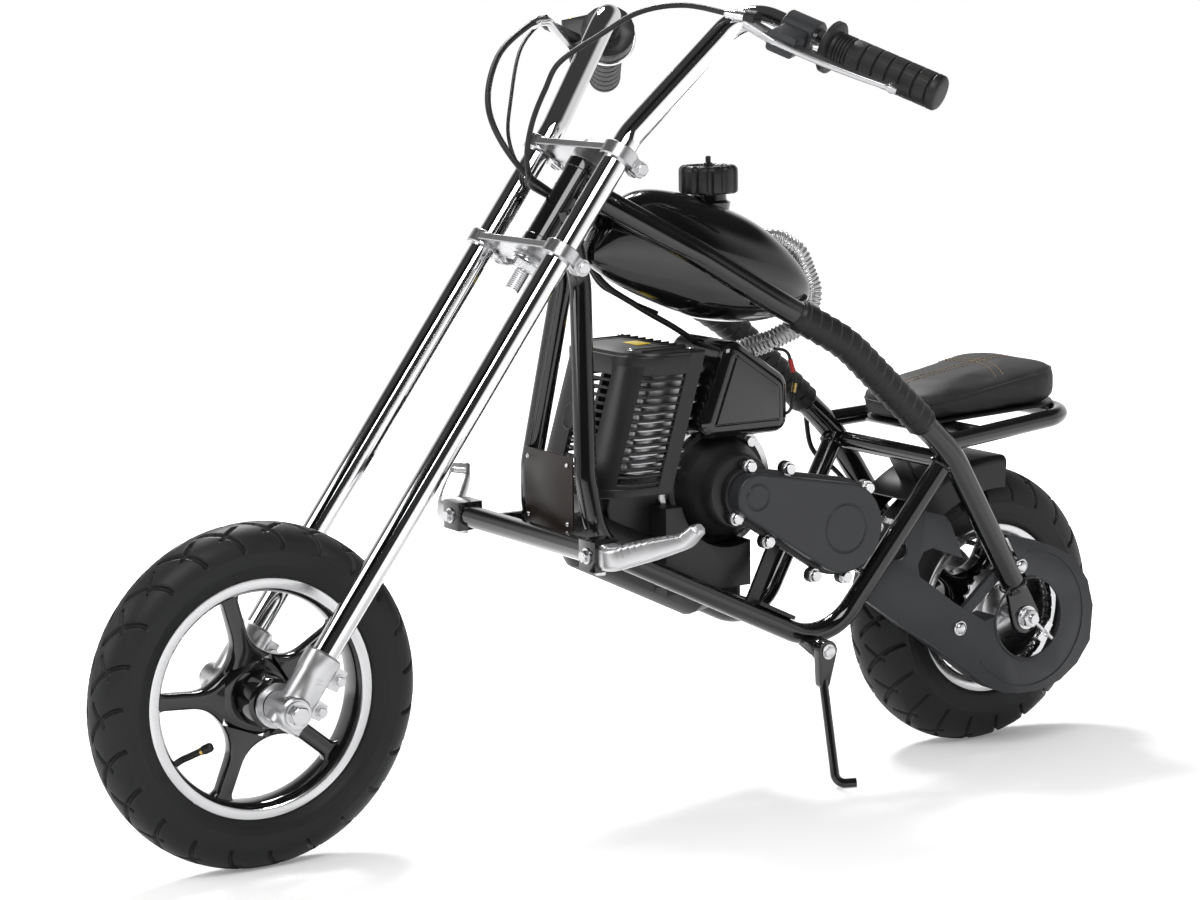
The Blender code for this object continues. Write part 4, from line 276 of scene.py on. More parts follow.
CLAMP_ALLOY = finish("clamp_alloy", (0.50, 0.50, 0.51), 0.30, metallic=1.0, grain=900.0, depth=0.00002,
                     dust=0.04, worn=(0.28, 0.28, 0.27), worn_level=0.80)
MACHINED = finish("machined_alloy", (0.66, 0.66, 0.67), 0.24, metallic=1.0, grain=1500.0, depth=0.00001,
                  dust=0.03)
BRASS = finish("brass", (0.62, 0.42, 0.16), 0.30, metallic=1.0, dust=0.03)
YELLOW = finish("yellow_plastic", (0.78, 0.56, 0.02), 0.40, dust=0.03)
RED = finish("red_cover", (0.45, 0.02, 0.02), 0.40, dust=0.03)
THREAD = finish("seam_thread", (0.22, 0.15, 0.07), 0.7, grain=2500.0, dust=0.0)
CLEAR = finish("silvery_hose", (0.62, 0.62, 0.62), 0.30, metallic=0.8, grain=900.0, depth=0.00004, dust=0.03)
for part in frame["record"]["subparts"]:
    mesh = frame["nodes"][part["node"]].data
    mesh.materials.clear()
    mesh.materials.append(FINISHES[part["material_slot"]])


# Shapes on grids of points
def unit(vector):
    """The vector brought to a length of one."""
    vector = np.asarray(vector, float)
    return vector / np.linalg.norm(vector)


def grid(points, looped=False):
    """A surface over rows of points: columns close round; rows close where looped, or end in flat faces."""
    rows, count = points.shape[:2]
    row = np.arange(rows if looped else rows - 1)[:, None]
    column = np.arange(count)[None, :]
    beside = (column + 1) % count
    after = (row + 1) % rows
    corners = (row * count + column, row * count + beside, after * count + beside, after * count + column)
    faces = np.stack(corners, -1).reshape(-1, 4).tolist()
    if not looped:
        faces += [list(range(count)), list(range((rows - 1) * count, rows * count))]
    return points.reshape(-1, 3), faces


def lathe(profile, centre, axis=ACROSS, steps=96, looped=False, fluted=None):
    """A turned shape: centre + along * axis + radius * (cos, sin), the radius times fluted(angle, row)."""
    profile = np.asarray(profile, float)
    axis = unit(axis)
    first = unit(np.cross(axis, (0.3, 0.2, 1.0) if abs(axis[2]) < 0.9 else (1, 0, 0)))
    angle = np.arange(steps) * 2 * math.pi / steps
    spoke = np.cos(angle)[:, None] * first + np.sin(angle)[:, None] * np.cross(axis, first)
    radius = np.repeat(profile[:, 1:], steps, axis=1)
    if fluted:
        radius = radius * fluted(angle[None, :], np.arange(len(profile))[:, None])
    points = np.asarray(centre, float) + axis * profile[:, None, :1] + spoke[None] * radius[..., None]
    return grid(points, looped)


def frames_along(path, up):
    """Two unit vectors across the path at each point, turning with it and never twisting."""
    ahead = np.diff(path, axis=0)
    ahead /= np.linalg.norm(ahead, axis=1)[:, None]
    tangents = np.vstack([ahead[:1], ahead[:-1] + ahead[1:], ahead[-1:]])
    tangents /= np.linalg.norm(tangents, axis=1)[:, None]
    across = []
    side = unit(np.cross(tangents[0], up))
    for tangent in tangents:
        side = unit(side - tangent * (side @ tangent))
        across.append(side)
    across = np.array(across)
    return across, np.cross(across, tangents)


RING_START = (0.13, 1.0, 0.21)


def carried(path, rings, up=RING_START):
    """A ring of offsets carried along a path: P + side * a + rise * b, one ring or one for each point."""
    path = np.asarray(path, float)
    side, rise = frames_along(path, up)
    rings = np.broadcast_to(rings, (len(path), *np.shape(rings)[-2:]))
    return path[:, None] + side[:, None] * rings[..., :1] + rise[:, None] * rings[..., 1:]


def ring_of(sides):
    """The corners of a regular ring of radius one."""
    angle = np.arange(sides) * 2 * math.pi / sides
    return np.stack([np.cos(angle), np.sin(angle)], 1)


def pipe(path, radius, sides=36):
    """A round tube along a path."""
    return grid(carried(path, ring_of(sides) * radius))


def bent(points, radius, steps=14):
    """The points with each inner corner turned into an arc of the given radius."""
    points = [np.asarray(p, float) for p in points]
    path = [points[0]]
    for before, corner, after in zip(points, points[1:], points[2:]):
        back = unit(before - corner)
        on = unit(after - corner)
        half = math.acos(max(-1, min(1, float(back @ on)))) / 2
        spare = min(np.linalg.norm(before - corner), np.linalg.norm(after - corner))
        reach = min(radius / math.tan(half), 0.48 * spare)
        turn = reach * math.tan(half)
        middle = corner + unit(back + on) * turn / math.sin(half)
        start = corner + back * reach - middle
        end = corner + on * reach - middle
        sweep = math.pi - 2 * half
        share = np.linspace(0, 1, steps + 1)[:, None]
        arc = np.sin((1 - share) * sweep) * start + np.sin(share * sweep) * end
        path.extend(middle + arc / math.sin(sweep))
    path.append(points[-1])
    return np.array(path)


def run_along(path):
    """The distance from a path's start to each of its points."""
    return np.concatenate([[0], np.cumsum(np.linalg.norm(np.diff(path, axis=0), axis=1))])


def at_runs(path, run, stops):
    """Places on a path at the given distances along it."""
    return np.column_stack([np.interp(stops, run, column) for column in path.T])


def even(path, step):
    """The same path with points an even step apart."""
    path = np.asarray(path, float)
    run = run_along(path)
    return at_runs(path, run, np.linspace(0, run[-1], max(2, int(run[-1] / step))))


def flowing(points, count=90):
    """A smooth curve through points: cubic pieces whose slopes come from the neighbours."""
    points = np.asarray(points, float)
    slope = np.gradient(points, axis=0)
    along = np.linspace(0, len(points) - 1, count)
    piece_at = np.minimum(along.astype(int), len(points) - 2)
    u = (along - piece_at)[:, None]
    a, b, m, n = points[piece_at], points[piece_at + 1], slope[piece_at], slope[piece_at + 1]
    return ((2 * u**3 - 3 * u**2 + 1) * a + (u**3 - 2 * u**2 + u) * m
            + (3 * u**2 - 2 * u**3) * b + (u**3 - u**2) * n)


def hull_of_circles(circles, steps=96):
    """The taut outline round circles given as (x, z, radius)."""
    points = np.vstack([ring_of(steps) * r + (x, z) for x, z, r in circles])
    order = points[np.lexsort((points[:, 1], points[:, 0]))]

    def chain(run):
        kept = []
        for p in run:
            while len(kept) > 1 and np.cross(kept[-1] - kept[-2], p - kept[-2]) <= 1e-10:
                kept.pop()
            kept.append(p)
        return kept[:-1]

    return np.array(chain(order) + chain(order[::-1]))


def even_outline(outline, count):
    """A closed outline with points an even step apart."""
    closed = np.vstack([outline, outline[:1]])
    run = run_along(closed)
    return at_runs(closed, run, np.arange(count) * run[-1] / count)


def drawn_in(outline, inset):
    """An outline with each of its sides moved inwards by the same amount."""
    ahead = np.roll(outline, -1, axis=0) - outline
    ahead /= np.linalg.norm(ahead, axis=1)[:, None]
    before = np.roll(ahead, 1, axis=0)
    area = np.cross(outline, np.roll(outline, -1, axis=0)).sum()
    inward = np.stack([-ahead[:, 1] - before[:, 1], ahead[:, 0] + before[:, 0]], 1) * np.sign(area)
    return outline + inset * inward / (1 + (ahead * before).sum(1))[:, None]


def plate(outline, low, high, edge, steps=4):
    """An outline in X and Z made solid between two Y, with its edges turned in on quarter circles."""
    turn = np.linspace(0, math.pi / 2, steps + 1)
    inset = edge * (1 - np.sin(turn))
    reach = edge * (1 - np.cos(turn))
    stops = [(i, low + r) for i, r in zip(inset, reach)]
    stops += [(i, high - r) for i, r in zip(inset[::-1], reach[::-1])]
    rows = [np.insert(drawn_in(outline, i), 1, y, axis=1) for i, y in stops]
    return grid(np.array(rows))


def rounded(width, height, edge, steps=4):
    """A ring of (side, rise) offsets: a rectangle with quarter-round corners."""
    turn = np.linspace(0, math.pi / 2, steps + 1)
    corners = []
    for quarter, (a, b) in enumerate(((1, 1), (-1, 1), (-1, -1), (1, -1))):
        t = turn + quarter * math.pi / 2
        side, rise = a * (width / 2 - edge), b * (height / 2 - edge)
        corners.append(np.stack([side + edge * np.cos(t), rise + edge * np.sin(t)], 1))
    return np.vstack(corners)


def bar(path, width, height, edge, up, steps=4):
    """A rectangle with rounded corners carried along a path."""
    return grid(carried(path, rounded(width, height, edge, steps), up))


def hexagon(where, axis, radius, height, washer=1.3):
    """A hexagon head on a washer: the flats lie at radius / cos of the angle to the nearest flat's middle."""
    def six_flats(angle, row):
        corner = 1 / np.cos((angle + math.pi / 6) % (math.pi / 3) - math.pi / 6)
        return np.where(row < 2, corner, np.minimum(corner, 1.06))

    axis = unit(axis)
    flat = radius * math.cos(math.pi / 6)
    thick = 0.22 * height
    under = lathe([(0, radius * washer), (thick, radius * washer)], where, axis, 24)
    head = [(thick, flat), (0.86 * height, flat), (0.93 * height, flat), (height, flat * 0.90)]
    return joined(under, lathe(head, where, axis, 24, fluted=six_flats))


def screw(where, axis, radius, height):
    """A low domed head: circles that shrink over a quarter round."""
    turn = np.linspace(0, math.pi / 2, 5)[:-1]
    return lathe([(height * math.sin(t), radius * math.cos(t)) for t in turn], where, axis, 20)


def joined(*parts):
    """Several shapes as one list of points and faces."""
    points = []
    faces = []
    start = 0
    for more_points, more_faces in parts:
        points.append(more_points)
        faces.extend([[i + start for i in face] for face in more_faces])
        start += len(more_points)
    return np.vstack(points), faces


def dressed(made, body, stands_for=()):
    """Puts a piece on the body that carries it and hides the solids that it stands for."""
    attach(made, body)
    if stands_for:
        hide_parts(*stands_for)
    return made


MERGE_REACH = 1e-6
SOLID_MERGE_REACH = 3e-6
FLAT_ANGLE = math.radians(0.6)
SOLID_EDGE_ANGLE = math.radians(32.0)


def mesh_object(name, shape, material, sharp=34.0):
    """A mesh in the frame's space: faces turned outwards, smooth but for its sharp edges."""
    points, faces = shape
    mesh = bpy.data.meshes.new(name)
    mesh.from_pydata(leaned(points).tolist(), [], faces)
    form = bmesh.new()
    form.from_mesh(mesh)
    bmesh.ops.remove_doubles(form, verts=form.verts, dist=MERGE_REACH)
    bmesh.ops.recalc_face_normals(form, faces=form.faces)
    form.to_mesh(mesh)
    form.free()
    mesh.shade_smooth()
    mesh.set_sharp_from_angle(angle=math.radians(sharp))
    mesh.materials.append(material)
    made = bpy.data.objects.new(name, mesh)
    scene.collection.objects.link(made)
    return made


def piece(name, shape, look, body, stands_for=(), sharp=34.0):
    """A new piece made from one shape, with a slot's finish or with a material of its own and no slot."""
    slot = look if isinstance(look, str) else None
    made = mesh_object(name, shape, FINISHES[slot] if slot else look, sharp)
    return dressed(made, body, stands_for)


def softened(name, width, segments=2):
    """A copy of a solid, its triangles joined into flat faces and its edges rounded."""
    source = frame["nodes"][name]
    mesh = source.data.copy()
    mesh.name = name + "_soft"
    form = bmesh.new()
    form.from_mesh(mesh)
    bmesh.ops.remove_doubles(form, verts=form.verts, dist=SOLID_MERGE_REACH)
    bmesh.ops.dissolve_limit(form, angle_limit=FLAT_ANGLE, verts=form.verts, edges=form.edges)
    form.to_mesh(mesh)
    form.free()
    mesh.shade_smooth()
    made = bpy.data.objects.new(name + "_soft", mesh)
    scene.collection.objects.link(made)
    edges = made.modifiers.new("rounded_edges", "BEVEL")
    edges.width = width
    edges.segments = segments
    edges.limit_method = "ANGLE"
    edges.angle_limit = SOLID_EDGE_ANGLE
    edges.harden_normals = True
    return dressed(made, body_of(source)[0], (name,))


# Wheels
TREAD_REACH = 0.86
TREAD_COLUMNS = 74
WALL_COLUMNS = 17
TREAD_ROWS = 840
BRANCH_RUN = 0.8
SLASH_RUN = 1.3


def cut(distance, half_width, depth):
    """A rounded groove: full depth in its middle and none past its half width."""
    return depth * np.sqrt(np.clip(1 - (distance / half_width) ** 2, 0, 1))


def tyre(name, node_name, body, centre, radius, section, rim_radius, pitches):
    """Round section r = ring + (section - d) sin t, y = (section - d) cos t, with the tread's depth d.

    On each side a groove leaves the middle along the wheel and turns square to it at the shoulder:
    pitches * angle / 2 pi = 0.8 (2 a - a a), a being the share of the way out. Short slashes cross it,
    and short cuts stand at the shoulder. Three low ribs run round the wall.
    """
    ring = radius - section
    foot = math.asin((ring - rim_radius) / section)
    tread = np.linspace(-TREAD_REACH, TREAD_REACH, TREAD_COLUMNS)
    wall = np.linspace(TREAD_REACH, 1 + foot / (math.pi / 2), WALL_COLUMNS + 1)[1:]
    out = np.concatenate([-wall[::-1], tread, wall])[None, :]
    away = np.abs(out)
    turn = (np.arange(TREAD_ROWS) * 2 * math.pi / TREAD_ROWS)[:, None]
    pitch = 2 * math.pi * radius / pitches
    count = pitches * turn / (2 * math.pi) + np.where(out < 0, 0.5, 0.0)
    share = np.clip(away / TREAD_REACH, 0, 1)
    steepness = pitch / (TREAD_REACH * math.pi / 2 * section)

    def groove(place, slope, half_width, deep, first, last):
        off = (place % 1.0 - 0.5) * pitch / np.sqrt(1 + slope**2)
        return cut(off, half_width, deep) * ((share > first) & (share < last))

    depth = groove(count - BRANCH_RUN * (2 * share - share**2), 2 * BRANCH_RUN * (1 - share) * steepness,
                   0.0023, 0.0034, 0.05, 0.97)
    slash = groove(count - 0.62 + SLASH_RUN * (share - 0.36), SLASH_RUN * steepness, 0.0017, 0.0026, 0.16,
                   0.52)
    shoulder = groove(count + 0.22, 0.0, 0.0018, 0.0024, 0.80, 0.99)
    depth = np.maximum(np.maximum(depth, slash), shoulder)
    ribs = 0
    for height, place, width in ((0.0007, TREAD_REACH + 0.05, 0.018), (0.0008, 1.17, 0.02),
                                 (0.0010, away.max() - 0.05, 0.025)):
        ribs = ribs + height * np.exp(-((away - place) / width) ** 2)
    reach = section - depth + ribs * (away > TREAD_REACH)
    angle = (1 - out) * math.pi / 2
    spread = reach * np.cos(angle)
    high = ring + reach * np.sin(angle)
    points = np.stack([centre[0] + high * np.cos(turn), centre[1] + spread, centre[2] + high * np.sin(turn)],
                      -1)
    piece(name, grid(points, looped=True), "tyre_rubber", body, (node_name,), sharp=60.0)


def ring_at(profile, centre):
    """A closed profile of (across, radius) turned round a wheel's axle."""
    return lathe(profile, centre, ACROSS, 160, looped=True)


def arms(centre, turn, inner, outer, waist, half_in, half_out):
    """Five arms, half as wide as waist + (root - waist) (1 - share / 0.5)^2.6, and a flare at the rim."""
    share = np.linspace(0, 1, 30)
    reach = inner + share * (outer - inner)
    root = inner * math.tan(math.pi / 5) * 1.02
    width = waist + (root - waist) * np.clip(1 - share / 0.50, 0, 1) ** 2.6
    width = width + waist * 0.9 * np.clip((share - 0.86) / 0.14, 0, 1) ** 2
    thick = half_in + share * (half_out - half_in)
    ring = rounded(2, 2, 0.55, 4)
    shapes = []
    for k in range(5):
        angle = turn + k * 2 * math.pi / 5
        along = np.array([math.cos(angle), 0, math.sin(angle)])
        aside = np.cross(along, ACROSS)
        middle = centre + along * reach[:, None]
        points = (middle[:, None] + aside * (ring[None, :, :1] * width[:, None, None])
                  + ACROSS * (ring[None, :, 1:] * thick[:, None, None]))
        shapes.append(grid(points))
    return joined(*shapes)


def flipped(profile):
    """The same profile on the other side."""
    return [(-a, r) for a, r in profile]


def mirrored(half):
    """A closed profile from its outer half: the same points again on the other side, in reverse."""
    return half + flipped(half)[::-1]


RIM_DEPTH = 0.0125
BORE_RADIUS = 0.0058


def wheel(name, node_name, body, centre, rim, half, turn, hub, arm):
    """Cast wheel: a deep rim with a sunk well, five arms, a stepped hub, and a machined face ring a side."""
    floor = rim - RIM_DEPTH
    outer = [(half, rim), (half + 0.0002, rim - 0.006), (half - 0.0012, rim - 0.0085), (half - 0.005, floor),
             (half * 0.5, floor - 0.0012), (0.0, floor - 0.0016)]
    well = [(half - 0.003, rim), (half - 0.004, rim - 0.004), (0.0, rim - 0.0055)]
    hub_radius, hub_half = hub
    web = 1.5 * hub_radius
    thick = arm[2]
    hub_side = [(hub_half, BORE_RADIUS), (hub_half, hub_radius - 0.004),
                (hub_half - 0.002, hub_radius - 0.001), (hub_half - 0.006, hub_radius),
                (thick * 1.1, hub_radius + 0.002), (thick * 1.02, web - 0.010), (thick * 0.9, web - 0.004)]
    shapes = [
        ring_at(mirrored(outer)[:-1] + mirrored(well)[::-1][:-1], centre),
        lathe(flipped(hub_side) + hub_side + [(thick * 0.5, web), (-thick * 0.5, web)], centre),
        arms(centre, turn, web * 0.92, floor + 0.001, *arm),
    ]
    piece(name, joined(*shapes), "gloss_black_paint", body, (node_name,))
    face = [(half - 0.001, rim + 0.0002), (half + 0.0006, rim), (half + 0.0009, rim - 0.0012),
            (half + 0.0009, rim - 0.0078), (half + 0.0004, rim - 0.0090), (half - 0.001, rim - 0.0094)]
    both = joined(ring_at(face, centre), ring_at(flipped(face)[::-1], centre))
    piece(name + "_face_rings", both, MACHINED, body)


tyre("front_tyre_tread", "front_tyre", "front_wheel_set", FRONT_AXLE, 0.160, 0.028, 0.1113, 23)
tyre("rear_tyre_tread", "rear_tyre", "rear_wheel_set", REAR_AXLE, 0.1447, 0.040, 0.0883, 22)
wheel("front_wheel_cast", "front_wheel", "front_wheel_set", FRONT_AXLE, 0.1108, 0.0183, math.radians(4.0),
      (0.024, 0.040), (0.0078, 0.0085, 0.0065))
wheel("rear_wheel_cast", "rear_wheel", "rear_wheel_set", REAR_AXLE, 0.0878, 0.0356, math.radians(40.0),
      (0.022, 0.047), (0.0075, 0.0150, 0.0130))

VALVE_TURN = math.radians(-32.0)
valve_out = np.array([math.cos(VALVE_TURN), 0, math.sin(VALVE_TURN)])
valve_path = bent([FRONT_AXLE + valve_out * out + ACROSS * aside
                   for out, aside in ((0.0995, 0.004), (0.0900, 0.006), (0.0740, 0.018))], 0.012)
valve_end = valve_path[-1]
valve_ahead = unit(valve_end - valve_path[-2])
valve_cap = [(0.0025, 0.0038), (0.004, 0.0044), (0.010, 0.0044), (0.012, 0.0034)]
piece("valve_stem", pipe(even(valve_path, 0.001), 0.0032, 20), "rubber", "front_wheel_set")
piece("valve_ring", lathe([(0, 0.0036), (0.0025, 0.0036)], valve_end, valve_ahead, 20), BRASS,
      "front_wheel_set")
piece("valve_cap", lathe(valve_cap, valve_end, valve_ahead, 24), "black_plastic", "front_wheel_set")

# Fork and bars
FORK_RADIUS = 0.0122
FORK_HALF_SPREAD = 0.0693
FORK_SETBACK = 0.0034
STEER_SETBACK = 0.0164
LOWER_CLAMP = 0.4856
UPPER_CLAMP = LOWER_CLAMP + 0.1084
FORK_KNEE = UPPER_CLAMP + 0.021


def on_fork(up, across):
    """A place in the plane of the fork tubes, up along them from the axle."""
    return FRONT_AXLE + FORK_UP * up - FORK_AHEAD * FORK_SETBACK + ACROSS * across


def on_steer(up, across=0.0):
    """A place beside the steering's axis, up along it from the axle."""
    return FRONT_AXLE + FORK_UP * up - FORK_AHEAD * STEER_SETBACK + ACROSS * across


def sided(points, side):
    """The left side's points, or for side = -1 the right side's."""
    return np.asarray(points, float) * (1, side, 1)


BAR_TOP = np.array([0.359, 0.118, 0.767])
BAR_END = np.array([0.265, 0.281, 0.693])
FORK_POINTS = [on_fork(0.012, FORK_HALF_SPREAD), on_fork(FORK_KNEE, FORK_HALF_SPREAD), BAR_TOP, BAR_END]

for word, side in SIDES:
    path = bent(sided(FORK_POINTS, side), 0.040, 18)
    piece("fork_bar_tube_" + word, pipe(path, FORK_RADIUS, 48), "chrome", "steering", ("fork_bar_" + word,))

CLAMP_HALF = 0.0036
CLAMP_EDGE = 0.0009
CLAMP_COLLAR = 0.0172
CLAMP_COLLAR_HALF = 0.0072
EAR_SHIFT = 0.0045


def clamp(up):
    """A thin plate across both tubes, and round each a collar with two ears behind it and a slit."""
    centre = on_fork(up, 0)
    flat = even_outline(hull_of_circles([
        (FORK_HALF_SPREAD, 0, 0.0150), (-FORK_HALF_SPREAD, 0, 0.0150),
        (0, FORK_SETBACK - STEER_SETBACK, 0.0178),
    ]), 200)
    rows = []
    for inset, rise in ((CLAMP_EDGE, -CLAMP_HALF), (0, CLAMP_EDGE - CLAMP_HALF), (0, CLAMP_HALF - CLAMP_EDGE),
                        (CLAMP_EDGE, CLAMP_HALF)):
        moved = drawn_in(flat, inset)
        rows.append(centre + moved[:, :1] * ACROSS + moved[:, 1:] * FORK_AHEAD + FORK_UP * rise)
    shapes = [grid(np.array(rows))]
    high, wide = CLAMP_COLLAR_HALF, CLAMP_COLLAR
    profile = [(-high, 0.0118), (-high, wide - 0.0012), (-high + 0.0012, wide), (high - 0.0012, wide),
               (high, wide - 0.0012), (high, 0.0118)]
    for side in (1, -1):
        middle = on_fork(up, side * FORK_HALF_SPREAD)
        shapes.append(lathe(profile, middle, FORK_UP, 72, looped=True))
        for shift in (-EAR_SHIFT, EAR_SHIFT):
            start = middle - FORK_AHEAD * 0.0125 + ACROSS * shift
            shapes.append(bar([start, start - FORK_AHEAD * 0.0165], 0.0065, 0.0135, 0.0012, FORK_UP))
    return joined(*shapes)


for word, up in (("lower", LOWER_CLAMP), ("upper", UPPER_CLAMP)):
    piece(word + "_clamp_plate", clamp(up), CLAMP_ALLOY, "steering", (word + "_clamp",))


def pinch_bolts():
    """The bolts through both clamps' collars, behind the fork tubes, and the stem's nuts."""
    shapes = []
    for up in (LOWER_CLAMP, UPPER_CLAMP):
        for side in (1, -1):
            middle = on_fork(up, side * FORK_HALF_SPREAD) - FORK_AHEAD * 0.024
            head = middle + ACROSS * 0.006
            shapes.append(hexagon(head, ACROSS, 0.0060, 0.006))
            shapes.append(lathe([(0, 0.0030), (0.020, 0.0030)], middle - ACROSS * 0.014, ACROSS, 16))
            shapes.append(hexagon(middle - ACROSS * 0.006, -ACROSS, 0.0060, 0.005))
    low = LOWER_CLAMP - 0.006
    shapes.append(lathe([(0, 0.017), (0.0018, 0.017)], on_steer(low), -FORK_UP, 40))
    shapes.append(hexagon(on_steer(low - 0.0018), -FORK_UP, 0.0142, 0.011, 1.08))
    thread = [(0.002 * i / 2, 0.0072 - 0.0007 * (i % 2)) for i in range(22)]
    shapes.append(lathe(thread, on_steer(low - 0.012), -FORK_UP, 24))
    shapes.append(hexagon(on_steer(UPPER_CLAMP + 0.0055), FORK_UP, 0.0138, 0.010, 1.12))
    return joined(*shapes)


piece("clamp_bolts", pinch_bolts(), "zinc_plated_steel", "steering")


def lug(side):
    """Cast foot: turned barrel on the fork tube, two pairs of ears with bolts behind, an eye for the axle."""
    base = on_fork(0, side * FORK_HALF_SPREAD)
    barrel = [(-0.0165, 0.0125), (-0.0165, 0.0155), (-0.0150, 0.0172), (0.004, 0.0175), (0.012, 0.0166),
              (0.040, 0.0166), (0.042, 0.0175), (0.058, 0.0175), (0.060, 0.0160), (0.060, 0.0124)]
    shapes = [lathe(barrel, base, FORK_UP, 56)]
    for low, high in ((0.006, 0.022), (0.036, 0.056)):
        for shift in (0.0048, -0.0048):
            middle = base + FORK_UP * (low + high) / 2 - FORK_AHEAD * 0.020 + ACROSS * shift
            path = [middle - FORK_UP * (high - low) / 2, middle + FORK_UP * (high - low) / 2]
            shapes.append(bar(path, 0.0062, 0.014, 0.0022, FORK_AHEAD))
        where = base + FORK_UP * (low + high) / 2 - FORK_AHEAD * 0.0225
        shapes.append(hexagon(where + ACROSS * 0.0079, ACROSS, 0.0046, 0.0045))
        shapes.append(hexagon(where - ACROSS * 0.0079, -ACROSS, 0.0046, 0.0045))
    eye = FRONT_AXLE + ACROSS * side * FORK_HALF_SPREAD
    shapes.append(lathe([(-0.0195, 0.0115), (-0.0205, 0.0135), (-0.0175, 0.0152), (0.0175, 0.0152),
                         (0.019, 0.0135), (0.019, 0.0070)], eye, ACROSS * side, 48))
    return joined(*shapes)


def half_ring(side):
    """The flat ring beside the hub that the lug's inner face carries."""
    eye = FRONT_AXLE + ACROSS * side * (FORK_HALF_SPREAD - 0.0215)
    profile = [(-0.0015, 0.0150), (0.0015, 0.0150), (0.0015, 0.0205), (-0.0015, 0.0205)]
    return lathe(profile, eye, ACROSS, 64, looped=True)


for word, side in SIDES:
    piece("axle_lug_cast_" + word, joined(lug(side), half_ring(side)), "cast_alloy", "steering",
          ("axle_lug_" + word,))
axle_parts = [lathe([(-0.096, 0.0050), (0.096, 0.0050)], FRONT_AXLE, ACROSS, 24)]
for side in (1, -1):
    axle_parts.append(hexagon(FRONT_AXLE + ACROSS * side * 0.0888, ACROSS * side, 0.0092, 0.0085))
piece("front_axle_bolt", joined(*axle_parts), "zinc_plated_steel", "steering", ("front_axle",))

# Frame
MAIN_RADIUS = 0.0125
DOWN_RADIUS = 0.0105
LOOP_RADIUS = 0.009
DROPOUT_Y = 0.0905
HEAD_LENGTH = 0.1084
MAIN_POINTS = [
    on_steer(LOWER_CLAMP + 0.705 * HEAD_LENGTH, 0.0134), (0.380, 0.064, 0.540), (0.300, 0.090, 0.486),
    (0.2315, 0.100, 0.4455), (0.104, 0.100, 0.327), (0.012, DROPOUT_Y, 0.176),
]
CRADLE_POINTS = [
    on_steer(LOWER_CLAMP + 0.468 * HEAD_LENGTH, 0.0112), (0.480, 0.0165, 0.512), (0.498, 0.050, 0.335),
    (0.492, 0.062, 0.268), (0.2296, 0.062, 0.1395), (0.104, 0.094, 0.320),
]


def main_path(side):
    """Middle line of a main tube, from the head tube to the dropout."""
    return bent(sided(MAIN_POINTS, side), 0.150, 24)


def cradle_path(side):
    """Middle line of a down tube, which runs on under the engine and up to the main tube."""
    return bent(sided(CRADLE_POINTS, side), 0.055, 16)


WELD_BEAD = 0.0022
WELD_RIPPLES = 30


def weld(where, axis, radius):
    """A weld bead: a ring whose thickness ripples thirty times round."""
    across, rise = frames_along(np.array([where, np.asarray(where) + unit(axis)]), (0.2, 0.9, 0.4))
    turn = np.linspace(0, 2 * math.pi, 90, endpoint=False)[:, None]
    spoke = np.cos(turn) * across[0] + np.sin(turn) * rise[0]
    section = ring_of(8)
    thick = WELD_BEAD * (1 + 0.22 * np.sin(WELD_RIPPLES * turn))[..., None]
    offsets = thick * (section[None, :, :1] * spoke[:, None] + section[None, :, 1:] * unit(axis))
    return grid((np.asarray(where) + radius * spoke)[:, None] + offsets, looped=True)


for word, side in SIDES:
    low = side * DROPOUT_Y - 0.003
    tang = even_outline(hull_of_circles([(0.012, 0.176, 0.0125), (0, REAR_AXLE_Z, 0.017)]), 96)
    path = main_path(side)
    shape = joined(pipe(path, MAIN_RADIUS, 44), plate(tang, low, low + 0.006, 0.0012),
                   weld(path[-2] * 0.04 + path[-1] * 0.96, path[-1] - path[-2], MAIN_RADIUS + 0.0002))
    piece("main_tube_bent_" + word, shape, "gloss_black_paint", "frame", ("main_tube_" + word,))
    down = cradle_path(side)
    rail_weld = weld(down[-1] * 0.95 + down[-2] * 0.05, down[-1] - down[-2], DOWN_RADIUS)
    piece("cradle_tube_bent_" + word, joined(pipe(down, DOWN_RADIUS, 40), rail_weld), "gloss_black_paint",
          "frame", ("cradle_tube_" + word,))

HEAD_LOW = LOWER_CLAMP + 0.0065
HEAD_SPAN = UPPER_CLAMP - 0.0065 - HEAD_LOW
head_end = [(0, 0.0092), (0, 0.0160), (0.0008, 0.0170), (0.0095, 0.0170), (0.0105, 0.0162)]
head_profile = head_end + [(HEAD_SPAN - a, r) for a, r in head_end[::-1]]
piece("head_tube_turned", lathe(head_profile, on_steer(HEAD_LOW), FORK_UP, 64, looped=True),
      "gloss_black_paint", "frame", ("head_tube",))

WRAP_BASE = MAIN_RADIUS + 0.0004
WRAP_RADIUS = 0.0148
WRAP_LIFT = 0.0014
WRAP_PITCH = 0.0125
WRAP_SPAN = (0.37, 0.665)
WRAP_STEP = 0.001


def wrap(side):
    """Tape wound on the tube: radius = base + lift * fraction of (run / pitch + angle / 2 pi)."""
    path = even(main_path(side), WRAP_STEP)
    first, last = (int(share * len(path)) for share in WRAP_SPAN)
    path = path[first:last]
    run = (np.arange(len(path)) * WRAP_STEP)[:, None]
    angle = np.arange(60) * 2 * math.pi / 60
    share = (run / WRAP_PITCH + side * angle[None] / (2 * math.pi)) % 1.0
    saw = np.where(share < 0.92, share / 0.92, (1 - share) / 0.08)
    near = np.minimum(run, run[::-1]) / 0.004
    radius = WRAP_BASE + (WRAP_RADIUS - WRAP_BASE + WRAP_LIFT * saw) * np.clip(near, 0.15, 1)
    return grid(carried(path, ring_of(60)[None] * radius[..., None]))


for word, side in SIDES:
    piece("tape_" + word, wrap(side), "wrapped_tape", "frame", ("tube_wrap_" + word,), sharp=80.0)


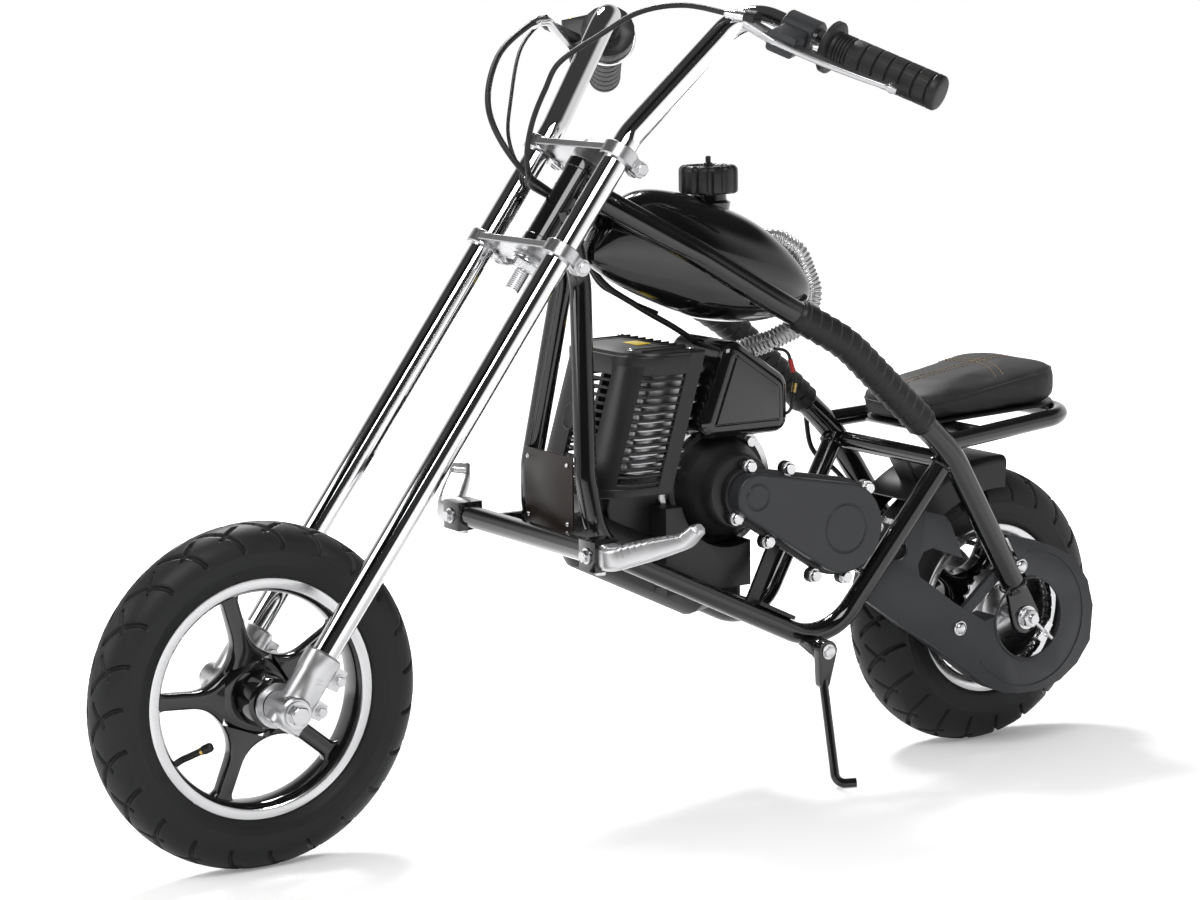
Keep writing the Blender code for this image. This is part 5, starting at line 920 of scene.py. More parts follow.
# Cross members, pegs and stand
PEG_BAR_MIDDLE = np.array([0.5315, 0, 0.277])
PEG_BAR_HALF = 0.128

softened("peg_bar", 0.0016, 3)
softened("front_plate", 0.0003, 1)
bolts = []
for side in (1, -1):
    lug_middle = PEG_BAR_MIDDLE + ACROSS * side * PEG_BAR_HALF
    bolts.append(hexagon(lug_middle + np.array([0.0142, 0, 0]), (1, 0, 0), 0.0058, 0.006))
    bolts.append(hexagon(lug_middle - UP * 0.0142, -UP, 0.0058, 0.005))
    for z in (0.345, 0.289):
        bolts.append(screw((0.5106, side * 0.036, z), (1, 0, 0), 0.0022, 0.0012))
piece("peg_bar_bolts", joined(*bolts), "zinc_plated_steel", "frame")

PEG_RADIUS = 0.0135
PEG_SWEEP = math.radians(38.0)
PEG_RISE = math.radians(17.0)
PEG_TEETH = 16


def peg(side):
    """Cast peg: a rounded ring on a path that sweeps out and curls up, its top cut into teeth by a saw."""
    root = PEG_BAR_MIDDLE + ACROSS * side * (PEG_BAR_HALF + 0.0143)
    along = unit((-math.sin(PEG_SWEEP), side * math.cos(PEG_SWEEP), math.sin(PEG_RISE)))
    neck = root + ACROSS * side * PEG_RADIUS
    far = neck + along * 0.070
    path = even(bent([root, neck, far, neck + along * 0.084 + UP * 0.010], 0.016), 0.0008)
    run = np.linspace(0, 1, len(path))
    ring = rounded(2, 2, 0.5, 5)
    wide = 0.0128 * np.interp(run, (0, 0.1, 0.5, 0.85, 0.97, 1), (0.9, 1, 0.98, 0.85, 0.78, 0.55))
    high = 0.0098 * np.interp(run, (0, 0.1, 0.5, 0.80, 0.97, 1), (1.25, 1.15, 1.0, 0.72, 0.62, 0.35))
    saw = (run * PEG_TEETH) % 1.0
    teeth = 0.0011 * np.where((run > 0.22) & (run < 0.9), saw, 0)
    lift = (ring[:, 1] > 0.4)[None, :] * teeth[:, None]
    rings = np.stack([ring[None, :, 0] * wide[:, None], ring[None, :, 1] * high[:, None] + lift], -1)
    return grid(carried(path, rings, UP))


for word, side in SIDES:
    piece("foot_peg_cast_" + word, peg(side), "cast_alloy", "frame", ("foot_peg_" + word,))

LOOP_REAR = np.array([-0.072, 0.080, 0.348])
LOOP_FRONT = np.array([0.112, 0.100, 0.336])
SEAT_ALONG = unit(LOOP_FRONT * (1, 0, 1) - LOOP_REAR * (1, 0, 1))
SEAT_UP = np.cross(SEAT_ALONG, ACROSS)


def on_seat(x, y, rise):
    """Places at a height over the plane that lies on top of the seat loop's tubes."""
    x, y, rise = np.broadcast_arrays(x, y, rise)
    along = (x - LOOP_REAR[0])[..., None] * SEAT_ALONG + (LOOP_RADIUS + rise)[..., None] * SEAT_UP
    return along + LOOP_REAR * (1, 0, 1) + y[..., None] * ACROSS


loop_points = [LOOP_FRONT, LOOP_REAR, LOOP_REAR * (1, -1, 1), LOOP_FRONT * (1, -1, 1)]
strap_half = np.interp(0.062, (-0.072, 0.112), (0.080, 0.100))
strap = on_seat(0.062, np.array([strap_half, -strap_half]), -LOOP_RADIUS)
piece("seat_loop_bent", joined(pipe(bent(loop_points, 0.045, 20), LOOP_RADIUS, 40),
                               pipe(strap, LOOP_RADIUS, 32)),
      "gloss_black_paint", "frame", ("seat_loop",))
main_line = main_path(1)[::-1]
cross_x = np.interp(0.315, main_line[:, 2], main_line[:, 0])
cross_ends = np.array([(cross_x, 0.0905, 0.315), (cross_x, -0.0905, 0.315)])
piece("cross_tube_round", pipe(cross_ends, LOOP_RADIUS, 32), "gloss_black_paint", "frame", ("cross_tube",))


def floor_place(x, y, lift):
    """The upright place that stands the given height over the floor once the bike leans."""
    return np.array([x, y * math.cos(LEAN), y * math.sin(LEAN) + lift / math.cos(LEAN)])


STAND_PIVOT = np.array([0.252, 0.0905, 0.143])
LEG_RADIUS = 0.0045


def stand_leg():
    """Tapered root on the pin, then a round leg that bends into a toe on the floor."""
    foot = floor_place(0.257, 0.117, LEG_RADIUS)
    toe = floor_place(0.257 - 0.018, foot[1] + 0.009, LEG_RADIUS)
    start = np.array([0.2555, 0.0925, 0.118])
    root = even_outline(hull_of_circles([(0.252, 0.143, 0.011), (0.2555, 0.112, 0.006)]), 110)
    return joined(pipe(bent([start, foot, toe], 0.012), LEG_RADIUS, 28), plate(root, 0.0880, 0.0975, 0.0011))


piece("side_stand_leg", stand_leg(), "gloss_black_paint", "stand", ("side_stand",))
piece("stand_pin_head", hexagon(STAND_PIVOT + ACROSS * 0.0075, ACROSS, 0.0062, 0.004, 1.2),
      "zinc_plated_steel", "frame")
softened("stand_bracket", 0.0012)

# Tank
TANK_FRONT_X = 0.461
TANK_LENGTH = 0.239
TANK_LOW_Z = 0.455
TANK_HEIGHT = 0.148
TANK_HALF = 0.064
TANK_SHARES = np.array((
    (0.00, 0.640, 0.500, 0.18), (0.05, 0.760, 0.440, 0.26), (0.12, 0.875, 0.370, 0.34),
    (0.25, 0.955, 0.260, 0.52), (0.40, 0.935, 0.150, 0.76), (0.54, 0.865, 0.080, 0.91),
    (0.70, 0.755, 0.050, 1.00), (0.83, 0.605, 0.060, 0.94), (0.94, 0.420, 0.100, 0.72),
    (1.00, 0.290, 0.160, 0.36),
))
TANK_POWER = 2 / 2.4


def tank():
    """Loft of squared circles, (|cos|^(2/2.4), |sin|^(2/2.4)), between the shares of the table along X."""
    shares = flowing(TANK_SHARES, 110)
    along, top, bottom, wide = (shares[:, i][:, None] for i in range(4))
    angle = (np.arange(96) * 2 * math.pi / 96)[None, :]
    across = np.sign(np.cos(angle)) * np.abs(np.cos(angle)) ** TANK_POWER
    rise = np.sign(np.sin(angle)) * np.abs(np.sin(angle)) ** TANK_POWER
    x = TANK_FRONT_X - along * TANK_LENGTH + 0 * angle
    z = TANK_LOW_Z + TANK_HEIGHT * ((top + bottom) / 2 + rise * (top - bottom) / 2)
    shell = np.stack([x, across * wide * TANK_HALF, z], -1)
    ends = [shell[:1] * 0.5 + shell[:1].mean(1) * 0.5 + (0.0012, 0, 0), shell,
            shell[-1:] * 0.5 + shell[-1:].mean(1) * 0.5 - (0.0012, 0, 0)]
    return grid(np.vstack(ends))


CAP_X = 0.323
cap_along = (TANK_FRONT_X - CAP_X) / TANK_LENGTH
cap_rise = TANK_HEIGHT * np.interp(cap_along, TANK_SHARES[:, 0], TANK_SHARES[:, 1])
cap_base = np.array([CAP_X, 0, TANK_LOW_Z + cap_rise])
neck = [(-0.020, 0.0175), (0.0015, 0.0215), (0.004, 0.0178), (0.010, 0.0172)]
tank_parts = [tank(), lathe(neck, cap_base, UP, 64)]
for side in (1, -1):
    middle = np.array([0.300, side * 0.0675, 0.486])
    tab = [middle - ACROSS * side * 0.024, middle + ACROSS * side * 0.016]
    tank_parts.append(bar(tab, 0.024, 0.004, 0.0012, UP))
piece("fuel_tank_shell", joined(*tank_parts), "gloss_black_paint", "frame", ("fuel_tank",), sharp=50.0)


def cap_flutes(angle, row):
    """Twelve scallops in the skirt, none on the top."""
    scallop = 0.10 * np.clip(np.cos(12 * angle), 0, 1) ** 0.7
    return 1 - scallop * ((row > 1) & (row < 9))


CAP_LOW = 0.0105
cap_profile = [(0, 0.016), (0, 0.0268), (0.0012, 0.0284), (0.003, 0.0288), (0.012, 0.0288), (0.020, 0.0288),
               (0.0235, 0.0285), (0.0255, 0.0272), (0.0268, 0.0250), (0.0262, 0.0215), (0.0250, 0.0205),
               (0.0250, 0.0040)]
vent = [(0.024, 0.0045), (0.029, 0.0042), (0.0295, 0.0026), (0.035, 0.0026), (0.0357, 0.0018)]
cap_foot = cap_base + UP * CAP_LOW
piece("tank_cap_fluted", joined(lathe(cap_profile, cap_foot, UP, 144, fluted=cap_flutes),
                                lathe(vent, cap_foot, UP, 24)),
      "black_plastic", "frame", ("tank_cap",), sharp=40.0)

HOSE_POINTS = ((0.290, 0.000, 0.520), (0.252, 0.000, 0.546), (0.224, 0.010, 0.526), (0.210, 0.015, 0.488),
               (0.220, 0.018, 0.457), (0.250, 0.000, 0.440), (0.282, -0.030, 0.425))
HOSE_RADIUS = 0.0102
HOSE_STEP = 0.0006
HOSE_PITCH = 0.0042


def ribbed_hose():
    """Hose whose radius swells by a sixth on a helix of about four-millimetre pitch."""
    path = even(bent(HOSE_POINTS, 0.024, 16), HOSE_STEP)
    run = (np.arange(len(path)) * HOSE_STEP)[:, None]
    angle = np.arange(40) * 2 * math.pi / 40
    wave = 0.5 + 0.5 * np.cos(2 * math.pi * run / HOSE_PITCH + angle[None])
    radius = HOSE_RADIUS * (0.93 + 0.16 * wave**1.6)
    return grid(carried(path, ring_of(40)[None] * radius[..., None]))


piece("tank_hose_ribbed", ribbed_hose(), CLEAR, "frame", ("tank_hose",), sharp=80.0)

# Seat
SEAT_LOW = 0.0036
SEAT_NOSE_X = 0.120
CUSHION_VOXEL = 0.0045
CLOTH_STIFFNESS = 30
CLOTH_BENDING = 2
CLOTH_FRAMES = 20
SMOOTHING_PASSES = 14
CUSHION_PRESSURE = 4.0
CUSHION_SWELL = 0.0050


def seat_plan(inset):
    """The seat's plan: a narrow round nose and a wider back."""
    front, back = SEAT_NOSE_X - inset, -0.080 + inset
    nose, half = 0.062 - inset, 0.075 - inset
    nose_round, back_round = nose * 0.85, half * 0.55
    corners = ((front - nose_round, nose - nose_round, nose_round),
               (back + back_round, half - back_round, back_round),
               (back + back_round, back_round - half, back_round),
               (front - nose_round, nose_round - nose, nose_round))
    points = []
    for quarter, (x, y, radius) in enumerate(corners):
        angle = (quarter + np.linspace(0, 1, 14)) * math.pi / 2
        points.append(np.stack([x + radius * np.cos(angle), y + radius * np.sin(angle)], 1))
    return even_outline(np.vstack(points), 140)


def seat_slope(x):
    """The cushion's height over its foot as a share: it falls towards the nose."""
    return np.interp(x, (LOOP_REAR[0], SEAT_NOSE_X), (1, 0.66))


def seat_layer(inset, rise):
    """The plan drawn in by an inset, at a height over the cushion's foot."""
    outline = seat_plan(inset)
    return on_seat(outline[:, 0], outline[:, 1], SEAT_LOW + rise * seat_slope(outline[:, 0]))


def swollen(made, pressure, cap):
    """Remeshes a closed form and lets cloth under pressure swell it, no point moving more than the cap."""
    remesh = made.modifiers.new("remesh", "REMESH")
    remesh.mode = "VOXEL"
    remesh.voxel_size = CUSHION_VOXEL
    graph = bpy.context.evaluated_depsgraph_get()
    mesh = bpy.data.meshes.new_from_object(made.evaluated_get(graph))
    made.modifiers.remove(remesh)
    made.data = mesh
    rest = np.array([v.co for v in mesh.vertices])
    cloth = made.modifiers.new("cloth", "CLOTH")
    cloth.settings.use_pressure = True
    cloth.settings.uniform_pressure_force = pressure
    cloth.settings.effector_weights.gravity = 0
    cloth.settings.tension_stiffness = CLOTH_STIFFNESS
    cloth.settings.compression_stiffness = CLOTH_STIFFNESS
    cloth.settings.bending_stiffness = CLOTH_BENDING
    cloth.point_cache.frame_start = 1
    cloth.point_cache.frame_end = CLOTH_FRAMES
    for frame_number in range(1, CLOTH_FRAMES + 1):
        scene.frame_set(frame_number)
    graph = bpy.context.evaluated_depsgraph_get()
    moved = np.array([v.co for v in made.evaluated_get(graph).data.vertices])
    made.modifiers.remove(cloth)
    scene.frame_set(1)
    step = moved - rest
    edges = np.array([e.vertices for e in mesh.edges])
    near = np.bincount(edges.ravel(), minlength=len(rest))[:, None]
    for _ in range(SMOOTHING_PASSES):
        total = np.zeros_like(step)
        np.add.at(total, edges[:, 0], step[edges[:, 1]])
        np.add.at(total, edges[:, 1], step[edges[:, 0]])
        step = (step + total / near) / 2
    length = np.maximum(np.linalg.norm(step, axis=1), 1e-9)[:, None]
    placed = rest + step * np.minimum(1, cap / length)
    mesh.vertices.foreach_set("co", placed.ravel())
    mesh.update()


SEAT_LAYERS = ((0.012, 0.001), (0.006, 0.005), (0.0045, 0.012), (0.0040, 0.028), (0.0055, 0.0335),
               (0.011, 0.0375), (0.024, 0.0400), (0.045, 0.0410))
seat_rows = [seat_layer(*layer) for layer in SEAT_LAYERS]
cushion = mesh_object("seat_cushion", grid(np.array(seat_rows)), FINISHES["black_vinyl"], 180.0)
swollen(cushion, CUSHION_PRESSURE, CUSHION_SWELL)
cushion.data.materials.clear()
cushion.data.materials.append(FINISHES["black_vinyl"])
low_plane = leaned(on_seat(0.0, 0.0, SEAT_LOW))
plane_up = LEAN_TURN @ SEAT_UP
shaped = np.array([v.co for v in cushion.data.vertices])
below = np.minimum((shaped - low_plane) @ plane_up, 0)
cushion.data.vertices.foreach_set("co", (shaped - below[:, None] * plane_up).ravel())
cushion.data.shade_smooth()
smoother = cushion.modifiers.new("soft", "SUBSURF")
smoother.levels = 1
smoother.render_levels = 1
dressed(cushion, "frame", ("seat",))


def dropped(tree, points, direction):
    """Each upright point moved along a direction onto the cushion; points that miss are left out."""
    landed = []
    heading = Vector(LEAN_TURN @ direction)
    for point in leaned(points):
        hit = tree.ray_cast(Vector(point), heading)[0]
        if hit is not None:
            landed.append((np.array(hit) - SHIFT) @ LEAN_TURN)
    return np.array(landed)


STITCH_LENGTH = 0.0032
STITCH_GAP = 0.0016
THREAD_RADIUS = 0.00045
STITCH_ARCH = ((0, -0.0004), (0.15, 0.0002), (0.5, 0.0005), (0.85, 0.0002), (1, -0.0004))


def stitches(path):
    """Short rounded threads along a path on the cushion, each of a few dozen faces."""
    run = run_along(path)
    share, rise = np.array(STITCH_ARCH).T
    shapes = []
    for start in np.arange(0, run[-1] - STITCH_LENGTH, STITCH_LENGTH + STITCH_GAP):
        spine = at_runs(path, run, start + STITCH_LENGTH * share)
        shapes.append(pipe(spine + SEAT_UP * rise[:, None], THREAD_RADIUS, 6))
    return shapes


surface = BVHTree.FromPolygons([v.co for v in cushion.data.vertices],
                               [list(p.vertices) for p in cushion.data.polygons])
threads = []
for y in (-0.0045, 0.0045):
    x = np.linspace(0.092, -0.050, 90)
    threads += stitches(dropped(surface, on_seat(x, np.full(90, y), 0.08), -SEAT_UP))
for x in (-0.010, -0.019):
    y = np.linspace(-0.056, 0.056, 80)
    threads += stitches(dropped(surface, on_seat(x + 0.30 * np.abs(y), y, 0.08), -SEAT_UP))
piece("seat_stitches", joined(*threads), THREAD, "frame", sharp=180.0)


def seam(tree, rise, radius):
    """Piping round the cushion: from far outside each point of the plan drops inwards onto the side."""
    outline = seat_plan(-0.03)
    middle = np.array([0.01, 0.0])
    landed = []
    for x, y in outline:
        inward = unit(np.array([middle[0] - x, 0, 0]) * SEAT_ALONG[0] + ACROSS * (middle[1] - y))
        hit = dropped(tree, [on_seat(x, y, SEAT_LOW + rise * seat_slope(x))], inward)
        if len(hit):
            landed.append(hit[0])
    path = np.array(landed)
    for _ in range(3):
        path = (np.roll(path, 1, axis=0) + 2 * path + np.roll(path, -1, axis=0)) / 4
    ahead = np.roll(path, -1, axis=0) - np.roll(path, 1, axis=0)
    side = np.cross(ahead, SEAT_UP)
    side /= np.linalg.norm(side, axis=1)[:, None]
    ring = ring_of(10)
    return grid(path[:, None] + radius * (ring[None, :, :1] * side[:, None] + ring[None, :, 1:] * SEAT_UP),
                looped=True)


piece("seat_piping", seam(surface, 0.0300, 0.0012), "black_vinyl", "frame", sharp=180.0)
softened("seat_pan", 0.0008)

FENDER_ANGLES = np.radians(np.linspace(50.0, 94.0, 48))


def guard():
    """A trough profile with rounded corners, carried on an arc about the rear axle."""
    half, inner, skirt, thick = 0.0455, 0.1587, 0.128, 0.002
    turn = np.linspace(0, math.pi / 2, 7)

    def arch(wide, high, corner):
        """A skirt's foot, the rounded corner and the same again on the other side."""
        side = [(wide, skirt)] + [(wide - corner + corner * math.cos(t), high - corner + corner * math.sin(t))
                                  for t in turn]
        return mirrored(side)

    profile = np.array(arch(half + thick, inner + thick, 0.008) + arch(half, inner, 0.006)[::-1])
    across, radius = profile[None, :, 0], profile[None, :, 1]
    angle = FENDER_ANGLES[:, None]
    points = np.stack([radius * np.cos(angle), across + 0 * angle, REAR_AXLE_Z + radius * np.sin(angle)], -1)
    middle = np.array([cross_x, 0, 0.315])
    out = unit(middle - REAR_AXLE)
    tab = [REAR_AXLE + out * inner, middle - out * 0.0085]
    return joined(grid(points), bar(tab, 0.004, 0.030, 0.001, ACROSS))


piece("rear_guard", guard(), "black_plastic", "frame", ("rear_fender",))

# Engine
CRANK = np.array([0.3275, 0, 0.3045])
COWL_LEAN = math.radians(17.0)
TILT = math.tan(COWL_LEAN)
for name, width in (("crankcase", 0.0025), ("muffler", 0.0035), ("engine_mount", 0.0008),
                    ("recoil_starter", 0.0014)):
    softened(name, width, 3)
box_outline = even_outline(hull_of_circles([(0.3495, 0.3705, 0.0150), (0.3245, 0.4330, 0.0160),
                                            (0.2800, 0.4000, 0.0180), (0.2770, 0.3705, 0.0150)]), 200)
box_shapes = [plate(box_outline, -0.0495, 0.0500, 0.0120, 10),
              plate(drawn_in(box_outline, 0.0125), 0.0440, 0.0520, 0.0030, 6)]
piece("air_box_shell", joined(*box_shapes), "gloss_black_paint", "frame", ("air_box",), sharp=60.0)

FIN_COUNT = 13
FIN_PITCH = 0.0078
FIN_SIDE = 0.067
CYLINDER_FOOT = np.array([0.413, 0.004, 0.3265])


def fins():
    """Thin square plates with rounded corners up a leaning core, every other one a little shorter."""
    core = rounded(0.046, 0.046, 0.012, 5)
    rows = [np.column_stack([core, np.full(len(core), rise)]) + CYLINDER_FOOT - (TILT * rise, 0, 0)
            for rise in (0.0, 0.100)]
    shapes = [grid(np.array(rows))]
    for fin in range(FIN_COUNT):
        rise = 0.004 + fin * FIN_PITCH
        middle = CYLINDER_FOOT + (-TILT * rise, 0, rise)
        ring = rounded(FIN_SIDE - 0.006 * (fin % 2), FIN_SIDE, 0.009, 5)
        rows = []
        for inset, lift in ((0.0007, -0.0012), (0, -0.0006), (0, 0.0006), (0.0007, 0.0012)):
            scale = 1 - 2 * inset / 0.066
            rows.append(np.column_stack([ring * scale, np.full(len(ring), lift)]) + middle)
        shapes.append(grid(np.array(rows)))
    return joined(*shapes)


piece("cylinder_fins", fins(), "cast_alloy", "frame", ("cylinder",))

COWL_FRONT, COWL_BACK, COWL_LEFT, COWL_RIGHT = 0.478, 0.400, 0.046, -0.100
COWL_LOW = 0.308
COWL_HEIGHT = 0.135
COWL_ROUND = 0.040
COWL_THICK = 0.0052
COWL_EDGE = 0.0012
LID_BACK = TILT * 0.137


def cowl_plan(inset):
    """The cooling cowl's plan, open at its back, as X and Y."""
    front, left, right = COWL_FRONT - inset, COWL_LEFT - inset, COWL_RIGHT + inset
    radius = COWL_ROUND - inset
    turn = np.linspace(0, math.pi / 2, 12)
    first = np.stack([front - radius + radius * np.sin(turn), left - radius + radius * np.cos(turn)], 1)
    second = np.stack([front - radius + radius * np.cos(turn), right + radius - radius * np.sin(turn)], 1)
    return even(np.vstack([[(COWL_BACK, left)], first, second, [(COWL_BACK, right)]]), 0.004)


def cowl_row(plan, rise):
    """A plan at a height over the cowl's foot, leaning back with it."""
    return np.column_stack([plan[:, 0] - TILT * rise, plan[:, 1], np.full(len(plan), COWL_LOW + rise)])


def cowl_rail(rise, height, thick):
    """A bar round the cowl at a height over its foot."""
    return bar(cowl_row(cowl_plan(0.002), rise), thick, height, min(thick, height) * 0.3, UP, 3)


def cowl_post(start, end):
    """An upright band of the cowl that leans back with it, between two shares of the way round."""
    plan = cowl_plan(0.002)
    plan = plan[int(start * len(plan)):int(end * len(plan)) + 1]
    ahead = np.gradient(plan, axis=0)
    out = np.stack([ahead[:, 1], -ahead[:, 0]], 1)
    out *= COWL_THICK / 2 / np.linalg.norm(out, axis=1)[:, None]
    loop = np.vstack([plan + out, (plan - out)[::-1]])
    return grid(np.array([cowl_row(drawn_in(loop, draw), rise) for rise, draw in (
        (0, COWL_EDGE), (COWL_EDGE, 0), (COWL_HEIGHT - COWL_EDGE, 0), (COWL_HEIGHT, COWL_EDGE))]))


def lid():
    """The cowl's top: its plan drawn in step by step while it rises to a low crown, with nine ribs on it."""
    plan = cowl_plan(0.0)
    middle = plan.mean(0)
    shapes = [grid(np.array([cowl_row(middle + (plan - middle) * share, rise) for share, rise in (
        (1, 0.1295), (1, 0.1345), (0.985, 0.1360), (0.90, 0.1368), (0.5, 0.1382), (0.1, 0.1388))]))]
    for y in np.linspace(-0.082, 0.030, 9):
        path = [(0.405 - LID_BACK, y, COWL_LOW + 0.1378), (0.462 - LID_BACK, y, COWL_LOW + 0.1372)]
        shapes.append(bar(path, 0.0022, 0.0022, 0.0008, UP, 3))
    return shapes


cowl_shapes = [cowl_rail(0.012 + 0.0075 * k, 0.0026, 0.0034) for k in range(14)]
cowl_shapes += [cowl_rail(0.0045, 0.009, 0.0046), cowl_rail(0.1235, 0.019, 0.0050)]
cowl_shapes += [cowl_post(0.0, 0.07), cowl_post(0.24, 0.36), cowl_post(0.54, 0.68), cowl_post(0.93, 0.985)]
badge = np.array([COWL_FRONT - TILT * 0.07, (COWL_LEFT + COWL_RIGHT) / 2 - 0.016, COWL_LOW + 0.07])
round_boss = [(-0.003, 0.014), (0.001, 0.014), (0.0016, 0.0125), (0.0008, 0.011), (0.0008, 0.003)]
cowl_shapes.append(lathe(round_boss, badge, (math.cos(COWL_LEAN), 0, math.sin(COWL_LEAN)), 48))
piece("cowl_grille", joined(*cowl_shapes, *lid()), "black_plastic", "frame", ("engine_cowl",))
label_place = [(0.430 - LID_BACK, -0.018, COWL_LOW + 0.1392), (0.446 - LID_BACK, -0.018, COWL_LOW + 0.1388)]
piece("cowl_bare_label", bar(label_place, 0.026, 0.0006, 0.0002, UP, 2), YELLOW, "frame")
lid_screws = [screw((x - LID_BACK, y, COWL_LOW + 0.1375), UP, 0.0036, 0.0022)
              for x, y in ((0.412, 0.036), (0.412, -0.088), (0.466, 0.016), (0.466, -0.070))]
piece("cowl_screws", joined(*lid_screws), "zinc_plated_steel", "frame")

wire = even(bent([(0.268, 0.030, 0.436), (0.254, 0.034, 0.434), (0.247, 0.037, 0.404), (0.254, 0.038, 0.372),
                  (0.268, 0.036, 0.372)], 0.010), 0.001)
piece("coil_wire", pipe(wire, 0.0016, 16), "rubber", "frame")
piece("coil_wire_sleeve", pipe(wire[22:36], 0.0024, 16), RED, "frame")
piece("coil_wire_joint", pipe(wire[46:56], 0.0023, 16), BRASS, "frame")

bell = [(0.0103, 0.020), (0.0103, 0.0560), (0.0112, 0.0572), (0.0165, 0.0575), (0.0180, 0.0565),
        (0.0195, 0.0520), (0.0235, 0.0490), (0.0300, 0.0470), (0.0360, 0.0440), (0.0430, 0.0395),
        (0.0500, 0.0372), (0.0570, 0.0366), (0.0600, 0.0350), (0.0613, 0.0320), (0.0613, 0.010)]
piece("clutch_bell", lathe(bell, CRANK, ACROSS, 128), "satin_black_metal", "frame", ("clutch_housing",))
ring_plate = [(0.0070, 0.0570), (0.0070, 0.0640), (0.0080, 0.0655), (0.0125, 0.0655), (0.0136, 0.0645),
              (0.0136, 0.0570)]
piece("clutch_ring_plate", lathe(ring_plate, CRANK, ACROSS, 128, looped=True), MACHINED, "frame")

SMALL_GEAR = (0.326, 0.3025, 0.0225)
BIG_GEAR = (0.2215, 0.2605, 0.0445)
GEAR_NEAR = 0.0618
GEAR_FAR = 0.0698
GEAR_FACE = 0.0860
EARS = ((0.3255, 0.3303), (0.2797, 0.3235), (0.3414, 0.2811), (0.3046, 0.2544), (0.1845, 0.2950),
        (0.1734, 0.2546), (0.2122, 0.2088), (0.2492, 0.2142))


def gear_back():
    """A plate a little larger than the cover, with an ear for each bolt."""
    grown = [(x, z, r + 0.004) for x, z, r in (SMALL_GEAR, BIG_GEAR)]
    shapes = [plate(even_outline(hull_of_circles(grown), 260), GEAR_NEAR, GEAR_FAR, 0.0010)]
    for x, z in EARS:
        ear = [(0, 0.0066), (0.0008, 0.0075), (0.0072, 0.0075), (0.0080, 0.0066)]
        shapes.append(lathe(ear, (x, GEAR_NEAR, z), ACROSS, 32))
    return joined(*shapes)


def gear_cover():
    """One wall round both gears and a face with a groove over each, cut by the distance to its circle."""
    outline = even_outline(hull_of_circles([SMALL_GEAR, BIG_GEAR], 160), 340)
    middle = np.array([0.262, 0.277])
    edge = 0.0028
    turn = np.linspace(0, math.pi / 2, 6)
    rows = [np.insert(outline, 1, GEAR_FAR + 0.0003, axis=1)]
    for t in turn:
        flat = drawn_in(outline, edge * (1 - math.cos(t)))
        rows.append(np.insert(flat, 1, GEAR_FACE - edge + edge * math.sin(t), axis=1))
    rim = drawn_in(outline, edge)
    for share in np.linspace(0.99, 0.01, 92):
        flat = middle + (rim - middle) * share
        high = np.full(len(flat), GEAR_FACE)
        for (x, z, _), radius in ((SMALL_GEAR, 0.0125), (BIG_GEAR, 0.0240)):
            high -= cut(np.hypot(flat[:, 0] - x, flat[:, 1] - z) - radius, 0.0011, 0.0011)
        rows.append(np.column_stack([flat[:, 0], high, flat[:, 1]]))
    return grid(np.array(rows))


piece("gear_back_plate", gear_back(), "satin_black_metal", "frame", ("gear_plate",))
piece("gear_cover", gear_cover(), "dark_grey_plastic", "frame", ("gearbox",), sharp=50.0)
engine_bolts = [hexagon((x, GEAR_FAR, z), ACROSS, 0.0060, 0.0065, 1.15) for x, z in EARS]
case_boss = [(-0.008, 0.0080), (-0.0005, 0.0080), (0.0002, 0.0072)]
for x, z in ((0.339, 0.3465), (0.362, 0.277), (0.290, 0.345)):
    engine_bolts.append(hexagon((x, 0.0175, z), ACROSS, 0.0058, 0.006, 1.2))
    engine_bolts.append(lathe(case_boss, (x, 0.0175, z), ACROSS, 24))
piece("engine_bolts", joined(*engine_bolts), "zinc_plated_steel", "frame")

# Drive and brake
CHAIN_Y = 0.0555
CHAIN_PITCH = 0.00635
CHAIN_WHEELS = [(0, REAR_AXLE_Z, 0.0596), (0.2215, 0.2605, 0.0180)]
PLATE_RADIUS = 0.0030


def chain_links():
    """Side plates with waisted outlines and round pins, an even pitch apart along the taut loop."""
    loop = hull_of_circles(CHAIN_WHEELS, 160)
    length = np.linalg.norm(np.roll(loop, -1, axis=0) - loop, axis=1).sum()
    count = 2 * int(length / CHAIN_PITCH / 2)
    pins = even_outline(loop, count)
    after = np.roll(pins, -1, axis=0)
    turn = np.linspace(0, 2 * math.pi, 12, endpoint=False)
    ends = np.where(np.cos(turn) > 0, 0.5, -0.5)
    radius = PLATE_RADIUS * (1 - 0.22 * (np.abs(np.cos(turn)) < 0.3))
    shapes = []
    for k in range(count):
        along = after[k] - pins[k]
        pitch = np.linalg.norm(along)
        along = along / pitch
        aside = np.array([-along[1], along[0]])
        flat = ((pins[k] + after[k]) / 2 + np.outer(ends * pitch + radius * np.cos(turn), along)
                + np.outer(radius * np.sin(turn), aside))
        shift = 0.0040 if k % 2 else 0.0030
        for side in (1, -1):
            low = CHAIN_Y + side * shift
            rows = [np.insert(flat, 1, low + w, axis=1) for w in (-0.0005, 0.0005)]
            shapes.append(grid(np.array(rows)))
        pin = (pins[k][0], CHAIN_Y, pins[k][1])
        for half, thick in ((0.0047, 0.0012), (0.0025, 0.0021)):
            shapes.append(lathe([(-half, thick), (half, thick)], pin, ACROSS, 8))
    return joined(*shapes)


piece("chain_links", chain_links(), "zinc_plated_steel", "frame", ("chain",))
for name, width in (("rear_sprocket", 0.0004), ("brake_disc", 0.0004), ("brake_caliper", 0.0014),
                    ("chain_cover", 0.0016)):
    softened(name, width)


def cover_face(x):
    """The chain cover's outer face: flat round the axle, then slanting in."""
    return 0.0990 - 0.2 * np.maximum(0, np.asarray(x) - 0.030)


